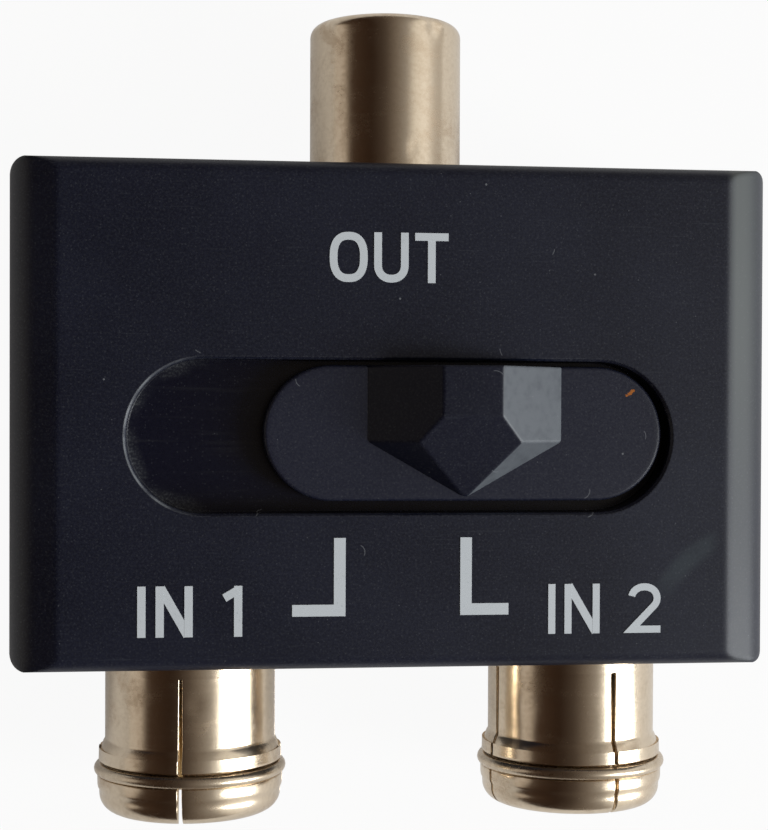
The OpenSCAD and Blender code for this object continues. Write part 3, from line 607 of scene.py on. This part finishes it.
# %% Dress the solids that stay
DRESS = {
    "front_case": case_black, "rear_cover": case_black, "cover_screws": screw_zinc,
    "plug_insulator": natural_plastic, "left_socket_insulator": natural_plastic,
    "right_socket_insulator": natural_plastic, "chassis": tinplate, "circuit_board": board_laminate,
    "switch_frame": tinplate, "switch_base": switch_laminate, "fixed_contacts": silvered,
    "slide_carriage": carriage_plastic, "bridge_contacts": spring_bronze,
    "centre_links": tinned_wire, "load_resistor": lacquer,
    "left_socket_contact": contact_plate, "right_socket_contact": contact_plate, "plug_pin": contact_plate,
}
for name, finish in DRESS.items():
    mesh = cad[name].data
    mesh.materials.clear()
    mesh.materials.append(finish)
print("dressed:", len(DRESS))

# %% [markdown]
# Every new piece is a grid of points that numpy works out in one go: two parameters,
# one formula. One helper turns such grids into a mesh. It turns the faces outwards by
# the sign of the volume that they enclose, merges points that meet where a piece asks
# for it, and marks sharp folds so that smooth shading stops there.

# %% Grid to mesh
def grid_faces(rows, columns, wrap_rows, wrap_columns):
    """Quads of a grid, as an array of four point numbers each."""
    i = np.arange(rows if wrap_rows else rows - 1)[:, None]
    j = np.arange(columns if wrap_columns else columns - 1)[None, :]
    i2, j2 = (i + 1) % rows, (j + 1) % columns
    quads = np.stack(np.broadcast_arrays(i * columns + j, i2 * columns + j,
                                         i2 * columns + j2, i * columns + j2), axis=-1)
    return quads.reshape(-1, 4)


def closed_tube(rows, columns):
    """Faces of a grid whose columns wrap round, with a flat face over each open end."""
    first = np.arange(columns)[None, :]
    last = (rows - 1) * columns + np.arange(columns)[None, ::-1]
    return [grid_faces(rows, columns, False, True), first, last]


def outward_volume(points, faces):
    """Six times the volume that the faces enclose, negative if they face inwards."""
    total = 0.0
    for face in faces:
        for k in range(1, face.shape[1] - 1):
            a, b, c = points[face[:, 0]], points[face[:, k]], points[face[:, k + 1]]
            total += float(np.einsum("ij,ij->", a, np.cross(b, c)))
    return total


def piece(name, shells, finish, body, replaces=(), sharp_deg=38.0, merge=0.0):
    """One object from closed shells, each a pair (points in mm, list of face arrays)."""
    points, faces, start = [], [], 0
    for shell_points, shell_faces in shells:
        inwards = outward_volume(shell_points, shell_faces) < 0
        for face in shell_faces:
            outwards = face[:, ::-1] if inwards else face
            faces += (outwards + start).tolist()
        points.append(shell_points)
        start += len(shell_points)
    mesh = bpy.data.meshes.new(name)
    mesh.from_pydata((np.vstack(points) * MM).tolist(), [], faces)
    if merge:
        work = bmesh.new()
        work.from_mesh(mesh)
        bmesh.ops.remove_doubles(work, verts=work.verts, dist=merge * MM)
        bmesh.ops.recalc_face_normals(work, faces=work.faces)
        work.to_mesh(mesh)
        work.free()
    mesh.validate()
    mesh.shade_smooth()
    mesh.set_sharp_from_angle(angle=radians(sharp_deg))
    mesh.materials.append(finish)
    obj = bpy.data.objects.new(name, mesh)
    bpy.context.scene.collection.objects.link(obj)
    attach(obj, body)
    if replaces:
        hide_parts(*replaces)
    print("%s: %d points, %d faces" % (name, len(mesh.vertices), len(mesh.polygons)))
    return obj


# %% [markdown]
# Turned and rolled parts start from an outline: the points that a pencil would pass on
# its way round the cut wall, with short arcs for the rounded corners. Long sides are
# divided into short steps, so that dents and saw cuts have points to move.

# %% Outlines
OUTLINE_STEP = 0.35


def arc(centre, radius, start_deg, end_deg, count):
    """Points on a circle about a centre, from one angle to another, as rows."""
    angle = np.radians(np.linspace(start_deg, end_deg, count))
    return np.column_stack([centre[0] + radius * np.cos(angle), centre[1] + radius * np.sin(angle)])


def finer(loop):
    """The same closed outline with no side longer than OUTLINE_STEP."""
    rows = []
    for here, there in zip(loop, np.roll(loop, -1, axis=0)):
        parts = max(1, int(np.ceil(np.hypot(*(there - here)) / OUTLINE_STEP)))
        rows.append(here + (there - here) * (np.arange(parts) / parts)[:, None])
    return np.vstack(rows)


print("mesh helpers ready")

# %% [markdown]
# The three outer conductors are thin sleeves. A lathe turns the plug's; the sockets'
# are the same tube rolled up into a land, a groove for the spring ring and a belly,
# then sawn into four fingers. In numbers both are one formula: the outline of the
# wall, given as radius and distance out from the case, turned about the connector's
# axis. Inside the case each ends alike: a seat for the insulator, then a spigot that
# passes through the chassis's wall and is rolled over behind it. A small dent is a
# bell-shaped dip in the radius.

# %% What the sleeves share
SEAT_OUT, SHOULDER_OUT, STAKED_OUT, ROLL_OUT = -1.2, -1.9, -2.5, -3.1
SPIGOT_T, ROLL_T = 0.5, 1.15


def about_axis(r, out, angle, axis_x, way):
    """x = axis + r sin a, y = edge + out away from the case, z = axis + r cos a."""
    return np.stack([axis_x + r * np.sin(angle), way * (EDGE_Y + out), AXIS_Z + r * np.cos(angle)], axis=-1)


def staked_end(bore):
    """The wall inside the case, as (radius, out): seat, spigot's bore, roll, spigot, shoulder."""
    spigot, roll = bore + SPIGOT_T, bore + ROLL_T
    return [[bore, SEAT_OUT], [bore, ROLL_OUT], [roll, ROLL_OUT], [roll, STAKED_OUT],
            [spigot, STAKED_OUT], [spigot, SHOULDER_OUT]]


def dented(r, out, angle, dents):
    """Each dent (angle, out, size, depth) takes depth * exp(-(distance / size)^2) off the radius."""
    for turn_deg, at, size, depth in dents:
        across = np.angle(np.exp(1j * (angle - np.radians(turn_deg)))) * r
        r = r - depth * np.exp(-((across / size) ** 2 + ((out - at) / size) ** 2))
    return r


print("sleeves reach", -ROLL_OUT, "mm into the case")

# %% [markdown]
# The plug's sleeve has a thin collar at its foot and a mouth that is rolled in. It is
# an old one, so it isn't perfectly round, and its edge has taken a knock.

# %% Plug sleeve
PLUG_R, PLUG_BORE, PLUG_MOUTH, PLUG_L = 4.7625, 4.25, 3.9, 9.6
PLUG_SPIGOT_BORE, PLUG_AROUND, PLUG_FLATS = 3.8875, 144, 0.0015
COLLAR_R, COLLAR_OUT, COLLAR_ROUND, COLLAR_FILLET = 4.96, 0.25, 0.06, 0.08
TIP_ROUND, MOUTH_T, MOUTH_ROUND = 0.75, 0.5, 0.1
PLUG_DENTS = [(15, 1.3, 0.35, 0.05), (32, 8.95, 0.5, 0.14), (-30, 6.0, 1.6, 0.02)]


def turned_tube(outline, axis_x, way, count, dents, flats):
    """A whole turn: the closed outline (r, out) carried through count angles, r a little oval."""
    angle = np.linspace(0, 2 * np.pi, count, endpoint=False)[:, None]
    r, out = outline[None, :, 0] + 0 * angle, outline[None, :, 1] + 0 * angle
    r = dented(r, out, angle, dents)
    r = r * (1 + flats * np.cos(2 * angle + 0.6))
    points = about_axis(r, out, angle + 0 * r, axis_x, way).reshape(-1, 3)
    return points, [grid_faces(count, len(outline), True, True)]


mouth_r = PLUG_MOUTH + MOUTH_ROUND
plug_outline = np.vstack([
    [[COLLAR_R, SHOULDER_OUT]],
    arc((COLLAR_R - COLLAR_ROUND, COLLAR_OUT - COLLAR_ROUND), COLLAR_ROUND, 0, 90, 5),
    arc((4.84, COLLAR_OUT + COLLAR_FILLET), COLLAR_FILLET, 270, 180, 5), [[PLUG_R, 0.5]],
    arc((PLUG_R - TIP_ROUND, PLUG_L - TIP_ROUND), TIP_ROUND, 0, 90, 14),
    arc((mouth_r, PLUG_L - MOUTH_ROUND), MOUTH_ROUND, 90, 180, 5),
    arc((mouth_r, PLUG_L - MOUTH_T + MOUTH_ROUND), MOUTH_ROUND, 180, 270, 5),
    [[PLUG_BORE, PLUG_L - MOUTH_T], [PLUG_BORE, SEAT_OUT]], staked_end(PLUG_SPIGOT_BORE),
])
plug_tube = turned_tube(finer(plug_outline), 0.0, 1, PLUG_AROUND, PLUG_DENTS, PLUG_FLATS)
piece("plug_sleeve", [plug_tube], sleeve_plate, "box", ["plug_shell"], 50)

# %% [markdown]
# A finger stops at the saw cut, whose two sides are parallel, so its half angle at
# radius r is asin(half the cut over r). A saw leaves a small soft edge on the outer
# skin, and old fingers stand a little apart or together, so each cut has one width
# at its root and another at its tip.

# %% Socket sleeves
SOCKET_L, NECK_R, BORE_R, SPIGOT_BORE = 9.6, 5.3, 4.8, 4.5
FLARE_R, LAND_R, GROOVE_R, BELLY_R = 0.35, 5.70, 5.19, 5.78
GROOVE_FROM, GROOVE_TO, GROOVE_LIP = 6.53, 7.37, 0.08
CUT_FROM, CUT_SOFT, FINGER_ROWS = 0.85, 0.05, 26
SOCKETS = {  # middle of the socket, angle of its first cut, the cuts' widths at root and tip, dents
    "left": (-SOCKET_X, -7, (0.17, 0.28), [(3, 2.4, 0.4, 0.05), (18, 6.2, 0.8, 0.03)]),
    "right": (SOCKET_X, 17, (0.32, 0.18), [(-40, 3.0, 0.9, 0.03)]),
}
beside_cut = [CUT_FROM - 0.01, CUT_FROM + 0.01]
socket_skin = np.vstack([
    [[NECK_R, SHOULDER_OUT]], [[NECK_R, out] for out in beside_cut], [[NECK_R, 5.05]],
    arc((NECK_R + FLARE_R, 5.08), FLARE_R, 180, 135, 4), arc((5.43, 5.60), 0.25, 45, 0, 4) + [[0, 0.1]],
    [[LAND_R - 0.01, 6.30]], arc((LAND_R - GROOVE_LIP, 6.42), GROOVE_LIP, 0, 90, 4),
    [[GROOVE_R, GROOVE_FROM], [GROOVE_R, GROOVE_TO]],
    arc((BELLY_R - GROOVE_LIP, GROOVE_TO + GROOVE_LIP), GROOVE_LIP, 270, 360, 4),
    [[BELLY_R - 0.01, 8.0], [5.74, 8.15], [5.655, 8.32]], arc((4.55, 8.5566), 1.1, 0, 68, 12),
])
socket_inside = np.vstack([
    [[4.86, 9.585], [BORE_R, 9.45]], [[BORE_R, out] for out in beside_cut[::-1]], [[BORE_R, SEAT_OUT]],
    staked_end(SPIGOT_BORE),
])
wall = finer(np.vstack([socket_skin, socket_inside]))
on_skin = ((wall[:, 0] > BORE_R + 0.15) & (wall[:, 1] > 0)).astype(float)


def sawn_fingers(outline, outer, axis_x, first_deg, cuts, dents):
    """Four fingers between saw cuts: angle = cut + asin(cut / 2 r) + u (90 deg - twice that).
    The cut's width goes evenly from cuts[0] at its root to cuts[1] at the tip.
    Near a cut, the outer skin drops by soft - sqrt(soft^2 - (soft - s)^2), a rounded edge."""
    near_cut = np.array([0, 0.002, 0.005, 0.009])
    u = np.concatenate([near_cut, np.linspace(0.02, 0.98, FINGER_ROWS), 1 - near_cut[::-1]])
    shells = []
    for quarter in range(4):
        r, out = outline[None, :, 0] + 0 * u[:, None], outline[None, :, 1] + 0 * u[:, None]
        sawn = (out > CUT_FROM) * 1.0
        width = cuts[0] + (cuts[1] - cuts[0]) * np.clip((out - CUT_FROM) / (SOCKET_L - CUT_FROM), 0, 1)
        half = sawn * np.arcsin(width / 2 / r)
        angle = np.radians(first_deg + 90 * quarter) + half + u[:, None] * (np.pi / 2 - 2 * half)
        side = np.minimum(u, 1 - u)[:, None] * np.pi / 2 * r
        drop = CUT_SOFT - np.sqrt(np.maximum(CUT_SOFT ** 2 - np.maximum(CUT_SOFT - side, 0) ** 2, 0))
        r = dented(r - drop * sawn * outer[None, :], out, angle, dents)
        points = about_axis(r, out, angle, axis_x, -1).reshape(-1, 3)
        shells.append((points, closed_tube(len(u), len(outline))))
    return shells


for side, (axis_x, first_deg, cuts, dents) in SOCKETS.items():
    fingers = sawn_fingers(wall, on_skin, axis_x, first_deg, cuts, dents)
    piece(side + "_sleeve", fingers, sleeve_plate, "box", [side + "_socket_shell"], 50)

# %% [markdown]
# A hard-drawn wire ring sits in the groove and pulls the four fingers together on
# the plug that is pushed in. It is bent from straight wire, so it has a gap and is
# never perfectly flat: a slow wave of two hundredths of a millimetre is enough for
# its highlight to wander as the real one does.

# %% Spring rings
RING_R, RING_WIRE_R, RING_OUT, RING_GAP, RING_WAVE = 5.60, 0.385, 7.0, 0.6, 0.02
RING_ROWS, RING_AROUND = 160, 16


def wire_ring(axis_x, gap_deg):
    """Circle of the wire carried round the groove, from one end of the gap to the other:
    r = ring radius + wire radius cos b, out = groove + wire radius sin b + a slow wave."""
    half = RING_GAP / 2 / RING_R
    angle = np.radians(gap_deg) + np.linspace(half, 2 * np.pi - half, RING_ROWS)[:, None]
    b = np.linspace(0, 2 * np.pi, RING_AROUND, endpoint=False)[None, :]
    wave = RING_WAVE * np.sin(3 * angle + axis_x)
    r, along = RING_R + RING_WIRE_R * np.cos(b) + 0 * angle, RING_OUT + wave + RING_WIRE_R * np.sin(b)
    points = about_axis(r, along, angle + 0 * b, axis_x, -1).reshape(-1, 3)
    return points, closed_tube(RING_ROWS, RING_AROUND)


for side, axis_x, gap_deg in (("left", -SOCKET_X, 150), ("right", SOCKET_X, 205)):
    piece(side + "_ring", [wire_ring(axis_x, gap_deg)], ring_plate, "box",
          [side + "_spring_ring"], 60)

# %% [markdown]
# The slider is one moulding: a flat plate with round ends, a stem that reaches down
# through the case, and a pointer on top. The plate is an outline carried inwards: each
# row of points is the same long round path, a little smaller and a little higher, so
# the rim gets a true rounding. The stem is made in the same way, from a path that is
# pushed out into a rectangle.

# %% Slider plate
PLATE_L, PLATE_W, PLATE_LOW, PLATE_HIGH, RIM_R = 24.0, 8.05, 14.1, 15.6, 0.22
STEM_L, STEM_W, STEM_LOW, STEM_HIGH, STEM_BEVEL = 6.0, 3.0, 10.38, 14.3, 0.12


def long_round(length, width, count):
    """Path of a bar with round ends, and the middle line that it shrinks towards."""
    half = np.linspace(-np.pi / 2, np.pi / 2, count)
    run, r = (length - width) / 2, width / 2
    straight = np.linspace(-1, 1, count + 2)[1:-1]
    path = np.vstack([np.column_stack([run + r * np.cos(half), r * np.sin(half)]),
                      np.column_stack([-run * straight, r + 0 * straight]),
                      np.column_stack([-run - r * np.cos(half), -r * np.sin(half)]),
                      np.column_stack([run * straight, -r + 0 * straight])])
    spine = np.column_stack([np.clip(path[:, 0], -run, run), 0 * path[:, 1]])
    return path, spine


def plate_rows(path, spine, rows):
    """Each row (share of the way in, height): point = path + share (spine - path), raised."""
    share, height = rows[:, 0][:, None, None], rows[:, 1][:, None]
    flat = path[None] + share * (spine - path)[None]
    z = np.broadcast_to(height, flat.shape[:2])
    points = np.concatenate([flat + [KNOB_X, KNOB_Y], z[..., None]], axis=-1)
    return points.reshape(-1, 3), [grid_faces(len(rows), len(path), False, True)]


path, spine = long_round(PLATE_L, PLATE_W, 40)
rim = arc((0.0, PLATE_HIGH - RIM_R), RIM_R, 0, 90, 8)
rows = np.vstack([[[share, PLATE_LOW] for share in (1.0, 0.5, 0.02)], [[0.0, PLATE_LOW + 0.06]],
                  np.column_stack([(RIM_R - rim[:, 0]) / (PLATE_W / 2), rim[:, 1]]),
                  [[share, PLATE_HIGH] for share in (0.12, 0.35, 0.7, 1.0)]])
plate = plate_rows(path, spine, rows)
stem_path, stem_spine = long_round(STEM_L, STEM_W, 8)
square = np.sign(stem_path) * np.minimum(np.abs(stem_path) * 1.6, [STEM_L / 2, STEM_W / 2])
stem_rows = np.array([[1.0, STEM_LOW], [STEM_BEVEL, STEM_LOW], [0.0, STEM_LOW + STEM_BEVEL],
                      [0.0, STEM_HIGH], [1.0, STEM_HIGH]])
stem = plate_rows(square, stem_spine, stem_rows)
piece("slider_plate", [plate, stem], slider_black, "slider", ["slider_knob"], 40,
      merge=0.001)

# %% [markdown]
# The pointer shows which socket is in use and gives the finger something to push.
# It is cut like a stone: a back, a flat top, two slanted sides, two small triangles
# at the point and one face between them, seven flat facets above the plate. A grid
# would be no help with so few corners, so they are named one by one, and a Bevel
# modifier softens the edges between them.

# %% Pointer
POINTER_H, POINTER_HALF, TOP_HALF = 3.0, 5.875, 1.75
BACK_Y, SIDE_END, TOP_END, TIP = PLATE_W / 2 - 0.04, -0.505, 1.025, -3.875
FOLD, SKIRT, POINTER_SOFT = 0.69, 0.3, 0.13
fold_x = POINTER_HALF + (TOP_HALF - POINTER_HALF) * FOLD
fold_y = TIP + (TOP_END - TIP) * FOLD
foot = np.array([[-POINTER_HALF, BACK_Y], [POINTER_HALF, BACK_Y], [POINTER_HALF, SIDE_END],
                 [0, TIP], [-POINTER_HALF, SIDE_END]])
upper = np.array([[-TOP_HALF, BACK_Y, POINTER_H], [TOP_HALF, BACK_Y, POINTER_H],
                  [TOP_HALF, TOP_END, POINTER_H], [-TOP_HALF, TOP_END, POINTER_H],
                  [fold_x, fold_y, POINTER_H * FOLD], [-fold_x, fold_y, POINTER_H * FOLD]])
sunk, level = (np.column_stack([foot, np.full(5, height)]) for height in (-SKIRT, 0.0))
corners = np.vstack([sunk, level, upper])
corners = corners + [KNOB_X, KNOB_Y, PLATE_HIGH]
facets = [[4, 3, 2, 1, 0], [0, 1, 6, 5], [1, 2, 7, 6], [2, 3, 8, 7], [3, 4, 9, 8], [4, 0, 5, 9],
          [5, 6, 11, 10], [10, 11, 12, 13], [6, 7, 14, 12, 11], [7, 8, 14], [8, 15, 13, 12, 14],
          [8, 9, 15], [9, 5, 10, 13, 15]]
pointer = piece("pointer", [(corners, [np.array([facet]) for facet in facets])], pointer_black, "slider",
                sharp_deg=20)
soften = pointer.modifiers.new("soft_edges", "BEVEL")
soften.width, soften.segments = POINTER_SOFT * MM, 3
soften.limit_method, soften.angle_limit = "ANGLE", radians(12)
soften.harden_normals = True
print("pointer folds at", round(fold_x, 2), round(fold_y, 2))

# %% [markdown]
# The marks tell which socket the pointer has chosen. Each letter is a pen stroke:
# a path with a flat ribbon laid along it. At a bend the ribbon's edge moves out along
# the half-angle line by half the width over the cosine of half the bend, which keeps
# its width even. The film stands three hundredths of a millimetre proud, and where
# strokes cross, one lies a hair higher than the other. The words are plain ones for
# a switch box of this kind.

# %% Lettering
FILM, SUNK, STROKE_STEP = 0.03, 0.01, 0.003
WIDTHS = {"O": 2.25, "U": 2.05, "T": 2.0, "I": 0.55, "N": 2.15, "1": 1.05, "2": 2.0, " ": 0.75}
WORDS = {  # text, left end, foot, height, width of the pen, gap between the marks
    "mark_out": ("OUT", -4.22, 7.85, 2.95, 0.46, 0.38),
    "mark_in_1": ("IN 1", -15.4, -12.95, 2.98, 0.48, 0.54),
    "mark_in_2": ("IN 2", 8.9, -13.0, 2.98, 0.43, 0.50),
}


def ribbon(path, width, closed=False):
    """Even band along a path: each side = point +- normal * half width / cos(half the bend)."""
    path = np.asarray(path, float)
    before, after = np.roll(path, 1, axis=0), np.roll(path, -1, axis=0)
    if not closed:
        before[0], after[-1] = path[0] * 2 - path[1], path[-1] * 2 - path[-2]
    into, away = path - before, after - path
    into /= np.linalg.norm(into, axis=1)[:, None]
    away /= np.linalg.norm(away, axis=1)[:, None]
    middle = into + away
    middle /= np.linalg.norm(middle, axis=1)[:, None]
    normal = np.column_stack([-middle[:, 1], middle[:, 0]])
    stretch = 1 / np.maximum(np.einsum("ij,ij->i", middle, into), 0.35)
    shift = normal * (width / 2 * stretch)[:, None]
    left, right = path + shift, path - shift
    low, high = CASE_T - SUNK, CASE_T + FILM
    ring = [np.column_stack([side, np.full(len(path), level)])
            for side, level in ((left, low), (left, high), (right, high), (right, low))]
    points = np.stack(ring, axis=1).reshape(-1, 3)
    faces = [grid_faces(len(path), 4, True, True)] if closed else closed_tube(len(path), 4)
    return points, faces


def oval(cx, cy, rx, ry, start_deg=0.0, end_deg=360.0, count=40, square=2.5):
    """Rounded oval |x/rx|^s + |y/ry|^s = 1, as points from one angle to another."""
    whole = abs(end_deg - start_deg) >= 360
    t = np.radians(np.linspace(start_deg, end_deg, count, endpoint=not whole))
    c, s = np.cos(t), np.sin(t)
    return np.column_stack([cx + rx * np.sign(c) * np.abs(c) ** (2 / square),
                            cy + ry * np.sign(s) * np.abs(s) ** (2 / square)])


def letter(mark, x, y, w, h, pen):
    """The strokes of one mark in the box from (x, y) to (x + w, y + h)."""
    p, middle, top = pen / 2, x + w / 2, y + h
    left, right, low, high = x + p, x + w - p, y + p, y + h - p
    if mark == "O":
        return [ribbon(oval(middle, y + h / 2, w / 2 - p, h / 2 - p), pen, True)]
    if mark == "U":
        bowl = oval(middle, y + w / 2, w / 2 - p, w / 2 - p, 180, 360, 24, 2.2)
        return [ribbon(np.vstack([[[left, top]], bowl, [[right, top]]]), pen)]
    if mark == "T":
        return [ribbon([[x, high], [x + w, high]], pen), ribbon([[middle, y], [middle, high]], pen)]
    if mark == "I":
        return [ribbon([[middle, y], [middle, top]], pen)]
    if mark == "N":
        slant = [[left + p * 0.2, top - p * 0.4], [right - p * 0.2, y + p * 0.4]]
        return [ribbon([[left, y], [left, top]], pen), ribbon([[right, y], [right, top]], pen),
                ribbon(slant, pen * 1.1)]
    if mark == "1":
        flag = [[x, y + h * 0.76], [right, high]]
        return [ribbon([[right, y], [right, top]], pen), ribbon(flag, pen)]
    bowl = oval(middle, y + h * 0.70, w / 2 - p, h * 0.30 - p, 170, -42, 26, 2.1)
    return [ribbon(np.vstack([bowl, [[left, low], [x + w, low]]]), pen)]


def word(text, x, y, height, pen, gap):
    """A row of marks, each with its own width; a blank only moves on."""
    strokes = []
    for mark in text:
        if mark != " ":
            strokes += letter(mark, x, y, WIDTHS[mark], height, pen)
        x += WIDTHS[mark] + gap
    for number, (points, _) in enumerate(strokes):
        points[points[:, 2] > CASE_T, 2] += STROKE_STEP * (number % 3)
    return strokes


for name, written in WORDS.items():
    piece(name, word(*written), white_ink, "box", sharp_deg=30)

# %% [markdown]
# Two corner lines lead from the pointer's places to the sockets. They are the same
# ribbon with a single bend, drawn with a broader pen than the words.

# %% Corner lines
BAR = 0.69
CORNERS = {
    "mark_left": [[-3.56, -7.2], [-3.56, -11.47], [-6.36, -11.47]],
    "mark_right": [[3.97, -7.2], [3.97, -11.47], [6.54, -11.47]],
}
for name, line in CORNERS.items():
    piece(name, [ribbon(line, BAR)], white_ink, "box", sharp_deg=30)

# %% [markdown]
# The box lies on white paper with a bright window to the right. Metal shows the whole
# room, so the surroundings matter as much as the lamp: dark and brown overhead, bright
# to the right, and a dim pale wall low on the left. The room changes from left to right
# only, which is why the round sleeves show upright bands. The window is tall and narrow
# and stands low on the right, a little towards the sockets' side, so the slanted faces
# that look at it catch its light and the box's face is only grazed. Lengths here are
# in metres.

# %% Room and window
ROOM = [  # how far a direction points to the right, from -1 to 1, and the room's colour there
    (-1.00, (0.56, 0.53, 0.50)), (-0.92, (0.46, 0.41, 0.36)), (-0.87, (0.048, 0.029, 0.019)),
    (-0.45, (0.024, 0.013, 0.008)), (-0.10, (0.062, 0.046, 0.036)), (0.15, (0.16, 0.135, 0.115)),
    (0.45, (0.30, 0.28, 0.26)), (0.62, (0.78, 0.76, 0.72)), (0.86, (0.95, 0.94, 0.92)),
    (0.95, (0.52, 0.50, 0.48)), (1.00, (0.46, 0.44, 0.42)),
]
WINDOW_AT, WINDOW_AIM, WINDOW_SIZE = (0.385, -0.13, 0.215), (0, 0, 0.012), (0.13, 0.34)
WINDOW_WATTS, WINDOW_COLOUR = 1.40, (0.93, 0.97, 1.0)


def room_light():
    """The room as a function of how far a direction points to the right."""
    world = bpy.data.worlds.new("room")
    world.use_nodes = True
    bpy.context.scene.world = world
    finish = Finish("room", world.node_tree)
    rightward = finish.parts(finish.node("TexCoord", out="Generated"))[0]
    stops = [((place + 1) / 2, colour) for place, colour in ROOM]
    tint = finish.node("ValToRGB", {"stops": stops}, {"Fac": rightward * 0.5 + 0.5})
    lit = finish.node("Background", inputs={"Color": tint, "Strength": 1.0})
    finish.node("OutputWorld", inputs={"Surface": lit})


def window_light():
    """A rectangle of light that looks at the box."""
    light = bpy.data.lights.new("window", "AREA")
    light.shape, light.size, light.size_y = "RECTANGLE", *WINDOW_SIZE
    light.energy, light.color = WINDOW_WATTS, WINDOW_COLOUR
    obj = bpy.data.objects.new("window", light)
    bpy.context.scene.collection.objects.link(obj)
    obj.location = WINDOW_AT
    obj.rotation_euler = (Vector(WINDOW_AIM) - Vector(WINDOW_AT)).to_track_quat("-Z", "Y").to_euler()


room_light()
window_light()
print("room of", len(ROOM), "tones, window of", WINDOW_WATTS, "watts")

# %% [markdown]
# The paper is plain white to the camera, whatever light falls on it, with a little
# of the box's soft shadow left on it. So its material mixes a matt surface, which
# takes light and shadow, with a steady white, and Light Path says which rays get how
# much of the white. Metal sees some of it too, more on the window's side.

# %% Paper
PAPER_HALF, PAPER_Z = 6.0, -0.0002
PAPER_WHITE = 0.94
METAL_WHITE_LEFT, METAL_WHITE_RIGHT, METAL_REACH_MM = 0.20, 0.45, 35.0


def paper():
    """A large square sheet under the box."""
    finish = Finish("white_paper")
    fibres = finish.noise(finish.place(), 0.8, detail=4.0)
    colour = finish.blend(fibres, (0.82, 0.81, 0.80), (0.90, 0.89, 0.88))
    matt = finish.node("BsdfDiffuse", inputs={"Color": colour})
    white = finish.node("Emission", inputs={"Color": (1.0, 1.0, 1.0), "Strength": 1.0})
    seen = finish.node("LightPath", out="Is Camera Ray") * PAPER_WHITE
    seen = seen.most(finish.node("LightPath", out="Is Transmission Ray") * PAPER_WHITE)
    side = finish.band(finish.axes(finish.place())[0], -METAL_REACH_MM, METAL_REACH_MM,
                       METAL_WHITE_LEFT, METAL_WHITE_RIGHT)
    seen = seen.most(finish.node("LightPath", out="Is Glossy Ray") * side)
    mixed = finish.node("MixShader", inputs={0: seen, 1: matt, 2: white})
    finish.node("OutputMaterial", inputs={"Surface": mixed})
    mesh = bpy.data.meshes.new("paper")
    ends = (-1, -1), (1, -1), (1, 1), (-1, 1)
    mesh.from_pydata([(PAPER_HALF * i, PAPER_HALF * j, PAPER_Z) for i, j in ends], [], [(0, 1, 2, 3)])
    mesh.materials.append(finish.material)
    sheet = bpy.data.objects.new("paper", mesh)
    bpy.context.scene.collection.objects.link(sheet)


paper()
print("paper set, half a side", PAPER_HALF, "m")
